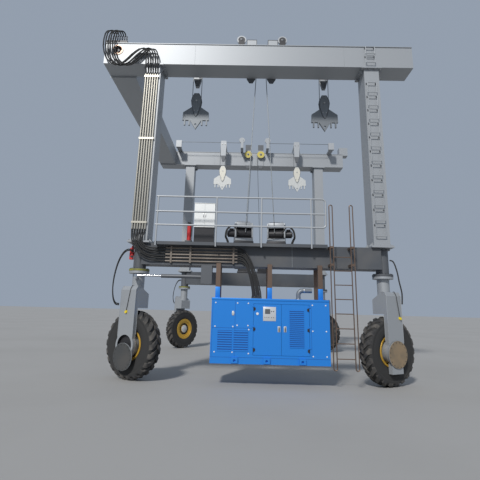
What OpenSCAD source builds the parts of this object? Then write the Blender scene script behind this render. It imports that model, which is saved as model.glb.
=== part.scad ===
// Rubber tyred gantry crane: two side frames on four steered wheels, joined
// by one cross girder, with four hoist blocks hung inside the frames.
// X runs along a side frame, Y across the machine, Z up. The origin is on the
// ground at the middle of the machine, and the side at -Y is the near side.

/* [Side frames] */
// Distance between the two leg centres of a side frame
leg_spacing = 6100; // [5600:50:7000]
// Distance between the two side frames, centre to centre
track = 7880; // [7000:20:9000]
// Width of a leg along the frame
leg_w = 410; // [340:10:460]
// Depth of a leg across the frame
leg_d = 580; // [480:10:620]
// Height of the underside of the top girders
girder_bottom = 8340; // [7800:20:9000]
// Height of a top girder's section
girder_h = 660; // [560:10:760]
// Width of a top girder's section
girder_w = 640; // [600:10:700]
// Width of the cross girder at the closed end
cross_w = 730; // [600:10:800]
// Overhang of the girders past the legs at the closed end
closed_overhang = 1430; // [1300:10:1430]
// Overhang of the girders past the legs at the open end
open_overhang = 1170; // [900:10:1300]
// Reach of the fittings on both girder ends past the legs
end_reach = 1450; // [1440:10:1600]

/* [Lower beams and deck] */
// Height of the underside of the lower beams
beam_bottom = 2720; // [2680:10:2900]
// Height of a lower beam's section
beam_h = 540; // [460:10:600]
// Width of a lower beam's section
beam_w = 560; // [480:10:600]
// Outer diameter of the corner tubes under the legs
corner_d = 320; // [280:10:360]
// Distance of the deck's outer edge from the frame's centre plane
deck_out = 510; // [440:10:560]
// Distance of the deck's closed end from the middle of the machine
deck_left = 2620; // [2400:10:2700]
// Distance of the deck's open end from the middle of the machine
deck_right = 1640; // [1500:10:1640]
// Height of the handrail above the deck
rail_h = 1140; // [1000:10:1200]
// Diameter of the handrail tube
rail_d = 42; // [34:1:50]

/* [Wheels] */
// Outer diameter of a tyre
tyre_d = 1600; // [1500:10:1640]
// Width of a tyre
tyre_w = 360; // [320:10:460]
// Diameter of a rim at its bead seat
rim_d = 700; // [640:10:740]
// Diameter of the hub housing
hub_d = 620; // [560:10:690]
// Distance of the hub cover's face from the wheel's middle plane
hub_out = 300; // [295:5:340]
// Angle by which the near left wheel is turned out of straight
steer_near_left = 31; // [20:1:45]
// Angle by which the near right wheel is turned out of straight
steer_near_right = 29; // [20:1:45]
// Angle by which the far left wheel is turned out of straight
steer_far_left = 50; // [20:1:50]
// Angle by which the far right wheel is turned out of straight
steer_far_right = 44; // [20:1:50]
// Width of a wheel arm
arm_w = 500; // [400:10:560]

/* [Hoists] */
// Distance of the near trolleys from the middle of the machine
trolley_x = 1950; // [1700:10:2200]
// Distance of the far left trolley from the middle of the machine
far_left_x = 1460; // [1300:10:2200]
// Distance of the hoist plane from the frame's centre plane
hoist_y = 840; // [830:5:860]
// Diameter of a wire rope
rope_d = 20; // [12:1:24]
// Height of the middle of a block's sheave
block_z = 7850; // [7600:10:7860]
// Groove diameter of a block's sheave
block_sheave_d = 250; // [220:2:260]
// Span of a lifting head
head_w = 800; // [700:10:900]

/* [Power pack] */
// Length of the power pack
pack_w = 2740; // [2500:10:2900]
// Distance of the power pack's middle from the middle of the machine
pack_x = 245; // [150:5:300]
// Depth of the power pack
pack_d = 940; // [800:10:960]
// Distance of the pack's front face from the frame's centre plane
pack_out = 610; // [580:10:640]
// Height of the pack's underside above the ground
pack_bottom = 490; // [420:10:560]
// Height of the pack's skid
skid_h = 140; // [100:5:180]
// Height of the pack's housing above its skid
housing_h = 1310; // [1200:10:1350]
// Wall thickness of the pack's housing
wall = 40; // [30:1:50]

/* [Ladders and pipes] */
// Clear width between the two ladder stiles
ladder_w = 420; // [360:10:480]
// Height of the ladder's foot above the ground
ladder_foot = 400; // [300:10:500]
// Spacing of the ladder's rungs
rung_pitch = 330; // [280:5:340]
// Diameter of a hydraulic pipe
pipe_d = 42; // [34:1:46]
// Spacing of the hydraulic pipes
pipe_pitch = 66; // [60:1:68]
// Number of hydraulic pipes on the leg
leg_pipes_n = 6; // [4:1:6]
// Number of hydraulic pipes on the lower beam
beam_pipes_n = 5; // [3:1:5]

/* [Hidden] */

$fn = 48;
seat = 0.3;          // gap between pieces that are seated on each other
run = 5;             // gap between pieces that move past each other
near = -1;
far = 1;
left = -1;
right = 1;

paint = "#8d9499";
dark_paint = "#4a5058";
leg_x = leg_spacing / 2;
girder_top = girder_bottom + girder_h;
flange_t = 16;
girder_left = leg_x + closed_overhang;
girder_right = leg_x + open_overhang;
joint_flange_t = 30;
joint_flange_out = 45;

plate_t = 40;        // cap and base plates of the legs
plate_out = 75;
beam_top = beam_bottom + beam_h;
ring_d = 500;
ring_h = 60;
ring_z = 2560;       // split between the turning and the fixed half of the ring

deck_plate = 12;
deck_top = beam_top + deck_plate;
deck_edge_h = 80;
deck_edge_t = 10;
rail_y = deck_out + rail_d / 2 + seat;
rail_posts = [-deck_left + 45, -1100, 20, 1250];
rail_levels = [0.36, 0.66, 1];
rail_bend = 90;

wheel_z = tyre_d / 2;
yoke_top = ring_z - seat;
kingpin_d = 160;
pin_shift = 60;      // the right kingpins stand this far outside their legs' middle
kingpin_h = 320;
cover_t = 20;
turning_ring_h = 55;
yoke_post_d = 300;
arm_top = 2180;
arm_t = 100;
arm_in = tyre_w / 2 + 10;
arm_out = arm_in + arm_t;
axle_d = 180;

sheave_flange = 14;
fall_x = block_sheave_d / 2 + rope_d / 2 + seat;
trolley_sheave_z = girder_top + 180;
trolley_sheave_x = 70;

housing_bottom = pack_bottom + skid_h;
housing_top = housing_bottom + housing_h;
lug_t = 45;
door_gap = 6;
door_t = 30;
door_bottom = housing_bottom + 60;
door_h = housing_h - 180;
door_hinge_left = pack_x - 390;
door_meet = pack_x + 255;
door_hinge_right = pack_x + 900;
bay_depth = 500;

cab_w = 540;
cab_d = 240;
cab_h = 640;
cab_x = -1455;
cab_leg_h = 480;
cab_z = deck_top + cab_leg_h;
cab_wall = 12;
cab_front = 40;      // front of the cabinet from the frame's centre plane, inwards

// Reach of the pack's lugs and of the far left tyre past the frames' centre planes
near_reach = pack_out + lug_t;
far_reach = (tyre_d / 2 - 40) * sin(steer_far_left) + (tyre_w / 2 - 20) * cos(steer_far_left);
place_y = (near_reach - far_reach) / 2;   // brings the origin to the middle of the outline

// Placing: y is measured from a side frame's centre plane, inwards
module on_side(side) {
    if (side == near) translate([0, place_y - track / 2, 0]) children();
    else translate([0, place_y + track / 2, 0]) mirror([0, 1, 0]) children();
}

module at_corner(side, end) {
    on_side(side) translate([end * leg_x, 0, 0]) children();
}

function pin_x(end) = end == left ? leg_x : leg_x + pin_shift;

module at_pin(side, end) {
    on_side(side) translate([end * pin_x(end), 0, 0]) children();
}

function steer_at(side, end) =
    side == near ? (end == left ? steer_near_left : steer_near_right)
                 : (end == left ? steer_far_left : steer_far_right);

module turned_corner(side, end) {
    at_pin(side, end) rotate(end * steer_at(side, end)) children();
}

// Boxes given by their lowest and highest corners
module block(low, high) {
    translate(low) cube(high - low);
}

module rod_x(x1, x2, y, z, d) {
    translate([x1, y, z]) rotate([0, 90, 0]) cylinder(d = d, h = x2 - x1);
}

module rod_y(x, y1, y2, z, d) {
    translate([x, y2, z]) rotate([90, 0, 0]) cylinder(d = d, h = y2 - y1);
}

// A plate in the XZ plane, between y1 and y2
module face_plate(points, y1, y2) {
    translate([0, y2, 0]) rotate([90, 0, 0]) linear_extrude(y2 - y1) polygon(points);
}

// A plate in the YZ plane, between x1 and x2
module side_plate(points, x1, x2) {
    translate([x1, 0, 0]) rotate([90, 0, 90]) linear_extrude(x2 - x1) polygon(points);
}

// A quarter of a bent bar, round the Y axis, from angle a on
module bend(radius, d, from) {
    rotate([90, 0, 0]) rotate(from) rotate_extrude(angle = 90) translate([radius, 0]) circle(d = d);
}

// Girders
module girder_body(side) {
    on_side(side) {
        block([-girder_left, -girder_w / 2, girder_bottom],
              [girder_right, girder_w / 2, girder_top - flange_t]);
        block([-girder_left, -girder_w / 2 - 20, girder_top - flange_t],
              [girder_right, girder_w / 2 + 15, girder_top]);
    }
}

port_x = -4110;
port_z = 8780;
port_d = 270;
port_depth = 90;

module near_girder() {
    color(paint) difference() {
        girder_body(near);
        on_side(near) rod_y(port_x, -girder_w / 2 - 1, -girder_w / 2 + port_depth, port_z, port_d);
    }
}

end_box_h = 400;
end_box_w = 360;

module far_girder() {
    color(paint) {
        girder_body(far);
        on_side(far) block([girder_right - 120, -end_box_w / 2, girder_top],
                           [leg_x + end_reach, end_box_w / 2, girder_top + end_box_h]);
    }
}

module cross_girder() {
    half = track / 2 - girder_w / 2 - seat / 3;
    x1 = -girder_left;
    x2 = -girder_left + cross_w;
    color(paint) translate([0, place_y, 0]) {
        block([x1, -half, girder_bottom], [x2, half, girder_top - flange_t]);
        block([x1, -half + 15, girder_top - flange_t], [x2, half - 15, girder_top]);
        for (y = [-half, half - joint_flange_t])
            block([x1, y, girder_bottom - joint_flange_out],
                  [x2 + joint_flange_out, y + joint_flange_t, girder_top - flange_t]);
    }
}

// Legs
gusset = 110;
gusset_t = 14;

module gusset_x(x, out, y, z, up) {
    face_plate([[x, z], [x + out * gusset, z], [x, z + up * gusset]], y - gusset_t / 2, y + gusset_t / 2);
}

module leg(side, end) {
    base = beam_top;
    px = leg_w / 2 + plate_out;
    py = leg_d / 2 + plate_out;
    color(paint) at_corner(side, end) {
        block([-px, -py, base], [px, py, base + plate_t]);
        block([-leg_w / 2, -leg_d / 2, base + plate_t], [leg_w / 2, leg_d / 2, girder_bottom - plate_t]);
        block([-px, -py, girder_bottom - plate_t], [px, py, girder_bottom]);
        for (out = [-1, 1], y = [-leg_d / 3, leg_d / 3]) {
            gusset_x(out * leg_w / 2, out, y, base + plate_t, 1);
            gusset_x(out * leg_w / 2, out, y, girder_bottom - plate_t, -1);
        }
    }
}

module corner_tube() {
    difference() {
        union() {
            translate([0, 0, ring_z + ring_h]) cylinder(d = corner_d, h = beam_top - ring_z - ring_h);
            translate([0, 0, ring_z]) cylinder(d = ring_d, h = ring_h);
            translate([0, 0, beam_top - 30]) cylinder(d = corner_d + 110, h = 30);
        }
        translate([0, 0, ring_z - 1]) cylinder(d = kingpin_d + 2 * seat, h = kingpin_h + run);
    }
}

module corner_tubes() {
    color(dark_paint) for (side = [near, far], end = [left, right]) at_pin(side, end) corner_tube();
}

module lower_beam(side) {
    reach = leg_x - corner_d / 2 + 60;
    color(paint) on_side(side) difference() {
        block([-reach, -beam_w / 2, beam_bottom], [reach + pin_shift, beam_w / 2, beam_top]);
        for (end = [left, right]) translate([end * pin_x(end), 0, beam_bottom - 1]) {
            cylinder(d = corner_d + 2 * seat, h = beam_h + 2);
            translate([0, 0, beam_h + 1 - 30 - seat]) cylinder(d = corner_d + 110 + 2 * seat, h = 40);
        }
    }
}

// Deck, handrail, ladder and steps
module deck() {
    color("#9aa0a6") on_side(near) {
        block([-deck_left, -deck_out, beam_top], [deck_right, beam_w / 2, deck_top]);
        block([-deck_left, -deck_out, deck_top - deck_edge_h],
            [deck_right, -deck_out + deck_edge_t, beam_top]);
        for (x = rail_posts)
            side_plate([[-deck_out + deck_edge_t, beam_top], [-beam_w / 2 - seat, beam_top],
                        [-beam_w / 2 - seat, beam_top - 70], [-deck_out + deck_edge_t, beam_top - 45]],
                       x - 5, x + 5);
    }
}

module handrail() {
    top = deck_top + rail_h;
    low = deck_top + rail_h * rail_levels[0];
    x_end = deck_right - 30;
    x_start = -deck_left;
    color("#a3a9ae") on_side(near) translate([0, -rail_y, 0]) {
        for (x = rail_posts)
            translate([x, 0, deck_top - 110]) cylinder(d = rail_d, h = rail_h + 110);
        for (z = [low, top]) rod_x(x_start, x_end - rail_bend, 0, z, rail_d);
        rod_x(x_start, x_end, 0, deck_top + rail_h * rail_levels[1], rail_d);
        translate([x_end, 0, low + rail_bend]) cylinder(d = rail_d, h = top - low - 2 * rail_bend);
        translate([x_end - rail_bend, 0, top - rail_bend]) bend(rail_bend, rail_d, 0);
        translate([x_end - rail_bend, 0, low + rail_bend]) bend(rail_bend, rail_d, -90);
    }
}

stile_d = 26;
stile_gap = 80;
ladder_top = deck_top + 980;
ladder_y = deck_out + rail_d + 40;
ladder_x = max(deck_right, pack_x + pack_w / 2 + 25) + 40 + stile_gap / 2;
rung_d = 22;

module stile() {
    r = stile_gap / 2;
    for (x = [-r, r])
        translate([x, 0, ladder_foot + r]) cylinder(d = stile_d, h = ladder_top - ladder_foot - 2 * r);
    translate([0, 0, ladder_top - r]) for (a = [0, 90]) bend(r, stile_d, a);
    translate([0, 0, ladder_foot + r]) for (a = [180, 270]) bend(r, stile_d, a);
}

module ladder() {
    inner = ladder_x + stile_gap / 2;
    rungs = floor((deck_top - 250 - ladder_foot) / rung_pitch);
    color("#7d6a5e") on_side(near) translate([0, -ladder_y, 0]) {
        for (x = [ladder_x, ladder_x + ladder_w + stile_gap]) translate([x, 0, 0]) stile();
        for (i = [0:rungs])
            rod_x(inner, inner + ladder_w, 0, ladder_foot + 250 + i * rung_pitch, rung_d);
        for (x = [ladder_x, ladder_x + ladder_w + stile_gap], z = [beam_bottom + 60, beam_top - 60])
            block([x - stile_gap / 2, -5, z - 25],
                [x + stile_gap / 2, ladder_y - beam_w / 2 - seat, z + 25]);
    }
}

step_w = 250;
step_drop = 310;
step_drop_girder = 230;
step_pitch = 400;
step_out = 70;
step_d = 20;
steps_n = 10;

module leg_step(drop) {
    r = step_d / 2;
    for (x = [-step_w / 2, step_w / 2]) {
        translate([x, 0, -drop]) cylinder(d = step_d, h = drop);
        rod_y(x, 0, step_out - seat, -r, step_d);
        translate([x, 0, -drop]) sphere(d = step_d);
    }
    rod_x(-step_w / 2, step_w / 2, 0, -drop, step_d);
    rod_x(-step_w / 2, step_w / 2, 0, -r, step_d);
}

module leg_steps() {
    first = beam_top + plate_t + gusset + 130 + step_drop;
    color("#6d7378") at_corner(near, right) {
        for (i = [0:steps_n])
            translate([-30, -leg_d / 2 - step_out, first + i * step_pitch]) leg_step(step_drop);
        for (z = [girder_bottom + 340, girder_bottom + 620])
            translate([-30, -girder_w / 2 - step_out, z]) leg_step(step_drop_girder);
    }
}

// Hydraulic pipes
clamp_h = 50;
pipe_foot = 3600;
pipe_head = girder_bottom - 320;

module pipe_clamp(n) {
    w = n * pipe_pitch;
    block([-w / 2, -pipe_d - 12, 0], [w / 2, -seat, clamp_h]);
}

module leg_pipes() {
    foot = pipe_foot;
    top = pipe_head;
    w = (leg_pipes_n - 1) * pipe_pitch;
    color("#b9b2a0") at_corner(near, left) translate([-30, -leg_d / 2, 0]) {
        for (i = [0:leg_pipes_n - 1])
            translate([-w / 2 + i * pipe_pitch, -pipe_d / 2 - 6, foot]) cylinder(d = pipe_d, h = top - foot);
        for (z = [foot + 150, 6050, top - 100]) translate([0, 0, z]) pipe_clamp(leg_pipes_n);
    }
}

module beam_pipes() {
    x1 = -2350;
    x2 = -560;
    z0 = beam_bottom + 90;
    y = -beam_w / 2 - pipe_d / 2 - 8;
    pitch = 82;
    color("#b9b2a0") on_side(near) {
        for (i = [0:beam_pipes_n - 1]) rod_x(x1, x2, y, z0 + i * pitch, pipe_d);
        for (x = [x1 + 120, -1750, x2 - 120])
            block([x, -beam_w / 2 - pipe_d - 16, z0 - pipe_d],
                  [x + 45, -beam_w / 2 - seat, z0 + (beam_pipes_n - 1) * pitch + pipe_d]);
    }
}

manifold_l = 620;

module hose_manifold() {
    x1 = -leg_x - end_reach;
    y = -girder_w / 2 + 40;
    color("#3c4045") on_side(near) {
        block([x1, y, girder_top], [x1 + manifold_l, y + 160, girder_top + 120]);
        for (i = [0:8])
            translate([x1 + 40 + i * 66, y + 80, girder_top + 120]) cylinder(d = 36, h = 190);
    }
}

module warning_horn() {
    x = -leg_x - corner_d / 2;
    color("#c42a2a") on_side(near) {
        block([x - 110, -60, beam_top - 400], [x - 30, 60, beam_top - 110]);
        block([x - 30, -20, beam_top - 300], [x - seat, 20, beam_top - 220]);
    }
}

// Power pack
module on_pack() {
    on_side(near) translate([0, -pack_out, 0]) children();
}

pack_x1 = pack_x - pack_w / 2;
pack_x2 = pack_x + pack_w / 2;
lug_w = 150;

module pack_skid() {
    color("#1b6fc4") on_pack() {
        block([pack_x1, 0, pack_bottom], [pack_x2, pack_d, pack_bottom + skid_h]);
        for (x = [pack_x1 + 560, pack_x1 + 1290, pack_x2 - 640])
            difference() {
                block([x - lug_w / 2, -lug_t, pack_bottom + 20], [x + lug_w / 2, 0, pack_bottom + skid_h]);
                rod_y(x, -lug_t - 1, 1, pack_bottom + skid_h / 2 + 5, 60);
            }
    }
}

module pack_housing() {
    color("#1f7fe0") on_pack() difference() {
        block([pack_x1, 0, housing_bottom], [pack_x2, pack_d, housing_top]);
        block([door_hinge_left - door_gap, -1, door_bottom - door_gap],
              [door_hinge_right + door_gap, door_t + 10, door_bottom + door_h + door_gap]);
        block([door_hinge_left + wall, 0, door_bottom + wall],
              [door_hinge_right - wall, bay_depth, door_bottom + door_h - wall]);
    }
    color("#1f7fe0") on_pack() for (side = [-1, 1], at = hinge_levels) {
        x = side < 0 ? door_hinge_left + hinge_in : door_hinge_right - hinge_in;
        z = door_bottom + at * door_h + hinge_h / 2;
        translate([x, -hinge_off, z + seat]) cylinder(d = hinge_pin_d, h = 35);
        block([side < 0 ? x - 50 : x, -10, z + 8], [side < 0 ? x : x + 50, 1, z + 35]);
    }
}

hinge_d = 24;
hinge_h = 80;
hinge_in = 12;
hinge_off = 4;
hinge_pin_d = 14;
hinge_levels = [0.1, 0.5, 0.9];   // parts of a door's height

module pack_door(x1, x2, hinge_x) {
    color("#2487e8") on_pack() {
        block([x1, 4, door_bottom], [x2, door_t, door_bottom + door_h]);
        for (at = hinge_levels)
            translate([hinge_x, -hinge_off, door_bottom + at * door_h - hinge_h / 2])
                cylinder(d = hinge_d, h = hinge_h);
    }
}

module pack_door_left() {
    pack_door(door_hinge_left, door_meet - door_gap / 2, door_hinge_left + hinge_in);
}

module pack_door_right() {
    pack_door(door_meet + door_gap / 2, door_hinge_right, door_hinge_right - hinge_in);
}

hanger_w = 110;

module pack_hangers() {
    color("#6b6358") on_side(near)
        for (x = [pack_x1 + 110, pack_x, pack_x2 - 140]) {
            block([x - hanger_w / 2, -beam_w / 2 - 60 - seat, housing_top],
                  [x + hanger_w / 2, -beam_w / 2 - seat, beam_bottom + 60]);
            block([x - hanger_w / 2, beam_w / 2 - 60, housing_top],
                  [x + hanger_w / 2, beam_w / 2, beam_bottom]);
        }
}

exhaust_x = 960;
exhaust_d = 110;

module exhaust_pipe() {
    color("#8b8f92") on_side(near) translate([exhaust_x, -150, housing_top]) {
        cylinder(d = exhaust_d, h = 120);
        translate([110, 0, 120]) rotate([90, 0, 0]) rotate(90) rotate_extrude(angle = 90)
            translate([110, 0]) circle(d = exhaust_d);
        rod_x(110, 330, 0, 230, exhaust_d);
    }
}

// Control cabinet on the deck
module on_cabinet() {
    on_side(near) translate([cab_x, cab_front, 0]) children();
}

module cabinet() {
    color("#f2f3f1") on_cabinet() {
        difference() {
            block([-cab_w / 2, 0, cab_z], [cab_w / 2, cab_d, cab_z + cab_h]);
            block([-cab_w / 2 + cab_wall, -1, cab_z + cab_wall],
                  [cab_w / 2 - cab_wall, cab_d - cab_wall, cab_z + cab_h - cab_wall]);
        }
        block([-cab_w / 2 + 10, 10, deck_top], [cab_w / 2 - 10, cab_d - 10, cab_z]);
    }
}

module cabinet_door(end) {
    color("#f7f8f6") on_cabinet()
        block([end < 0 ? -cab_w / 2 : 2, -20, cab_z], [end < 0 ? -2 : cab_w / 2, -seat, cab_z + cab_h]);
}

module extinguisher() {
    x = cab_x - cab_w / 2 - 120;
    color("#c8202c") on_side(near) {
        translate([x, 60, deck_top + 120]) cylinder(d = 110, h = 380);
        block([x - 90, 0, deck_top], [x + 90, 120, deck_top + 120]);
    }
}

// Winches
winch_w = 440;
winch_d = 400;
winch_h = 640;
winch_x = 430;
winch_angle = 8;
winch_y = -60;
drum_d = 240;
drum_z = 300;

module winch(end) {
    half = winch_w / 2;
    block([-half - 20, -winch_d / 2, 0], [half + 20, winch_d / 2, 90]);
    for (x = [-half, half - 24])
        side_plate([[-winch_d / 2 + 20, 90], [winch_d / 2 - 20, 90], [winch_d / 2 - 60, winch_h - 120],
                    [-winch_d / 2 + 100, winch_h - 120]], x, x + 24);
    rod_x(-half + 24, half - 24, 0, drum_z, drum_d);
    block([-half, -60, winch_h - 120], [half, 60, winch_h - 60]);
    block([-half, -winch_d / 2 + 20, 90], [half, -winch_d / 2 + 50, 190]);
    for (i = [0:6])
        translate([-120 + i * 40, 0, winch_h - 60]) cylinder(d = 16, h = 60);
    rod_x(end > 0 ? half : -half - 170, end > 0 ? half + 170 : -half, 0, drum_z, 180);
}

module side_winches(side, base) {
    color("#5b6167") on_side(side)
        for (end = [left, right])
            translate([end * winch_x, winch_y, base]) rotate(-end * winch_angle) winch(end);
}

// Rope gear
hang_in = girder_w / 2 + 20;      // back of the hanging plates, from the frame's centre plane
hang_low = girder_bottom - 140;
centre_x = 300;
centre_sheave_z = girder_top - 150;
centre_sheave_d = 320;
guide_x = 600;
guide_z = girder_top + 400;
guide_d = 240;
top_rope_z = guide_z - guide_d / 2 - rope_d / 2 - seat;
sheave_y = 460;        // plane of the centre sheaves

module sheave(d, w) {
    rotate([90, 0, 0]) rotate_extrude()
        polygon([[0, -w / 2], [d / 2 + sheave_flange, -w / 2], [d / 2 + sheave_flange, -w / 2 + 8],
                 [d / 2, -rope_d / 2 - 1], [d / 2, rope_d / 2 + 1], [d / 2 + sheave_flange, w / 2 - 8],
                 [d / 2 + sheave_flange, w / 2], [0, w / 2]]);
}

sheave_w = 50;

// Plate with a narrow foot that hangs on the inner face of a girder
module hanging_plate(x, w, top, y1, y2) {
    face_plate([[x - w / 2, top], [x - w / 2, hang_low + 130], [x - w / 5, hang_low],
                [x + w / 5, hang_low], [x + w / 2, hang_low + 130], [x + w / 2, top]], y1, y2);
}

module centre_gear(side) {
    on_side(side) for (end = [left, right]) {
        x = end * centre_x;
        hanging_plate(x, 260, girder_top + 100, hang_in, hang_in + 16);
        translate([x, sheave_y, centre_sheave_z]) sheave(centre_sheave_d, sheave_w);
        rod_y(x, hang_in + 16, sheave_y - sheave_w / 2, centre_sheave_z, 90);
        block([x - 130, -60, girder_top], [x + 130, hang_in + 16, girder_top + 100]);
        // stand of the guide sheave, on a beam that reaches inwards over the girder
        block([end * guide_x - 60, -girder_w / 4, girder_top],
              [end * guide_x + 60, hoist_y + 60, girder_top + anchor_arm_h]);
        translate([end * guide_x, hoist_y, guide_z]) sheave(guide_d, sheave_w);
        for (y = [hoist_y - sheave_w / 2 - 14, hoist_y + sheave_w / 2 + 2])
            block([end * guide_x - 60, y, girder_top + anchor_arm_h],
                  [end * guide_x + 60, y + 12, guide_z + 40]);
        rod_y(end * guide_x, hoist_y - sheave_w / 2 - 14, hoist_y + sheave_w / 2 + 14, guide_z, 40);
        block([end * 300 - 130, -girder_w / 2 + 40, girder_top],
              [end * 300 + 130, -girder_w / 2 + 120, girder_top + 190]);
        // second guide sheave, over the middle of the near girder
        if (side == near) {
            translate([end * guide_x, 0, guide_z]) sheave(guide_d, sheave_w);
            for (y = [-sheave_w / 2 - 14, sheave_w / 2 + 2])
                block([end * guide_x - 60, y, girder_top + anchor_arm_h],
                      [end * guide_x + 60, y + 12, guide_z + 40]);
            rod_y(end * guide_x, -sheave_w / 2 - 14, sheave_w / 2 + 14, guide_z, 40);
        }
    }
}

module centre_sheaves() {
    color("#c9b77a") {
        centre_gear(near);
        centre_gear(far);
    }
}

anchor_x = 3560;
anchor_arm_h = 60;

module rope_anchors() {
    color("#c9c9c4") for (side = [near, far], end = [left, right]) on_side(side) {
        block([end * anchor_x - 100, -girder_w / 4, girder_top],
              [end * anchor_x + 100, hoist_y + 50, girder_top + anchor_arm_h]);
        block([end * anchor_x - 130, hoist_y - 60, girder_top],
              [end * anchor_x + 130, hoist_y + 50, top_rope_z + 60 + seat]);
    }
}

module top_ropes() {
    color("#5f6468") for (side = [near, far], end = [left, right]) on_side(side) {
        x1 = end * guide_x;
        x2 = end * (anchor_x - 130 - seat);
        rod_x(min(x1, x2), max(x1, x2), hoist_y, top_rope_z, rope_d);
    }
}

// Trolleys, blocks and their rope falls
trolley_w = 280;
cheek_t = 16;

module trolley(side, x) {
    y1 = hoist_y - sheave_w / 2 - 8 - cheek_t;
    y2 = hoist_y + sheave_w / 2 + 8;
    top = girder_top + 345;
    shoulder = girder_top + 180;
    waist = girder_bottom + 220;
    foot = girder_bottom - 10;
    color("#9a9f9c") on_side(side) translate([x, 0, 0]) {
        for (y = [y1, y2])
            face_plate([[-120, top], [-140, shoulder], [-110, waist], [-50, foot], [50, foot],
                        [110, waist], [140, shoulder], [120, top]], y, y + cheek_t);
        for (sx = [-trolley_sheave_x, trolley_sheave_x]) {
            translate([sx, hoist_y, trolley_sheave_z]) sheave(110, sheave_w);
            rod_y(sx, y1, y2 + cheek_t, trolley_sheave_z, 40);
        }
        for (sx = [-trolley_w / 2, trolley_w / 2 - 24])
            block([sx, -160, girder_top + 60], [sx + 24, y1 + 1, girder_top + 140]);
        for (y = [-160, hang_in + 60])
            block([-trolley_w / 2, y, girder_top + 110], [trolley_w / 2, y + 40, girder_top + 140]);
        for (sx = [-trolley_w / 2 - 1, trolley_w / 2 - 29], y = [-100, 180])
            translate([sx, y, girder_top + 45 + seat]) rotate([0, 90, 0]) cylinder(d = 90, h = 30);
        for (sx = [-120, 90]) block([sx, y1, top - 25], [sx + 30, y2 + cheek_t, top]);
    }
}

lens = [[-70, 250], [-140, 110], [-160, 0], [-140, -150], [-60, -440], [0, -520],
        [60, -440], [140, -150], [160, 0], [140, 110], [70, 250]];

sling_d = 60;        // bore for the sling pin at the tip of the lifting head
sling_drop = 780;

module hook_block(side, x) {
    h = head_w / 2;
    color("#5d636b") on_side(side) translate([x, hoist_y, block_z]) difference() {
        hook_body(h);
        rod_y(0, -40, 40, -sling_drop, sling_d);
    }
}

module hook_body(h) {
    union() {
        for (y = [-50, 34]) face_plate(lens, y, y + 16);
        sheave(block_sheave_d, sheave_w);
        rod_y(0, -50, 50, 0, 70);
        face_plate([[-130, -200], [-h + 10, -385], [-h, -640], [-h + 50, -640], [-h + 50, -800],
                    [-h + 90, -800], [-h + 90, -640], [-h + 190, -640], [-h + 190, -800], [-h + 230, -800],
                    [-h + 230, -640], [-140, -700], [0, -930], [140, -700],
                    [h - 230, -640], [h - 230, -800], [h - 190, -800], [h - 190, -640], [h - 90, -640],
                    [h - 90, -800], [h - 50, -800], [h - 50, -640], [h, -640], [h - 10, -385], [130, -200]],
                   -34, 34);
    }
}

module hoist_ropes(side, x) {
    color("#5f6468") on_side(side) for (sx = [-fall_x, fall_x])
        translate([x + sx, hoist_y, block_z]) cylinder(d = rope_d, h = trolley_sheave_z - block_z, $fn = 16);
}

module winch_ropes() {
    color("#5f6468") for (side = [near, far], end = [left, right]) on_side(side) {
        base = side == near ? deck_top : beam_top;
        top = [end * (centre_x - centre_sheave_d / 2 - rope_d / 2), sheave_y, centre_sheave_z];
        low = [end * (winch_x - 60), winch_y - drum_d / 2 - rope_d, base + drum_z + 20];
        d = top - low;
        len = norm(d);
        translate(low) rotate([0, acos(d[2] / len), atan2(d[1], d[0])])
            cylinder(d = rope_d, h = len, $fn = 16);
    }
}

// Wheels
// Height of the motor cover below the axle: the near left one hangs lower
function cover_drop(side, end) = side == near && end == left ? 260 : 55;

module yoke(side, end) {
    drop = cover_drop(side, end);
    color(paint) turned_corner(side, end) difference() {
        union() {
            translate([0, 0, yoke_top]) cylinder(d = kingpin_d, h = kingpin_h);
            translate([0, 0, yoke_top - turning_ring_h]) cylinder(d = ring_d, h = turning_ring_h);
            translate([0, 0, tyre_d + 110])
                cylinder(d = yoke_post_d, h = yoke_top - turning_ring_h - tyre_d - 110);
            side_plate([[yoke_post_d / 2, arm_top - 180], [-yoke_post_d / 2, arm_top],
                        [-arm_out + 60, arm_top], [-arm_out, arm_top - 90], [-arm_out, wheel_z],
                        [-arm_in, wheel_z], [-arm_in, tyre_d + 60], [yoke_post_d / 2, tyre_d + 60]],
                       -arm_w / 2, arm_w / 2);
            rod_y(0, -arm_out, -arm_in, wheel_z, arm_w + 80);
            rod_y(0, -arm_in - 1, -10, wheel_z, wheel_drum_d);
            if (side == near && end == right)
                block([-200, -hub_out, wheel_z - drop - hub_d / 2 - 120],
                    [160, -arm_in, wheel_z - drop - 200]);
            if (drop < 100) rod_y(0, -hub_out, -arm_out, wheel_z - drop, hub_d - 60);
            translate([0, 0, -drop]) rod_y(0, -hub_out - cover_t, -hub_out, wheel_z, hub_d);
            if (drop >= 100)
                block([-160, -hub_out, wheel_z - drop - 120], [160, -arm_out + 1, wheel_z - 200]);
            rod_y(0, -arm_in, axle_end, wheel_z, axle_d);
            // lever for the steering cylinder, square to the frame at rest
            if (side == near && end == left) rotate(steer_near_left) {
                block([-40, -lug_r, cyl_z - 30 - run - lever_t],
                    [40, -yoke_post_d / 2 + 20, cyl_z - 30 - run]);
                translate([0, -lug_r, cyl_z - 30 - run - lever_t]) cylinder(d = 80, h = lever_t);
            }
        }
        if (drop >= 100) rod_y(0, -hub_out - 1, -arm_out + recess_depth, wheel_z, recess_d);
    }
}

rim_half = 165;
out_half = 120;      // the outer flange stands further in than the inner one
wheel_drum_d = 540;
recess_d = 470;
recess_depth = 70;
rim_t = 24;
flange_r = rim_d / 2 + 70;
out_flange_r = 375;
well_r = 240;
boss_r = 160;
web_y = 50;          // inner face of the rim's web, from the wheel's middle plane
dish_y = 125;        // face of the rim's dish
axle_end = web_y + 60;

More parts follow.
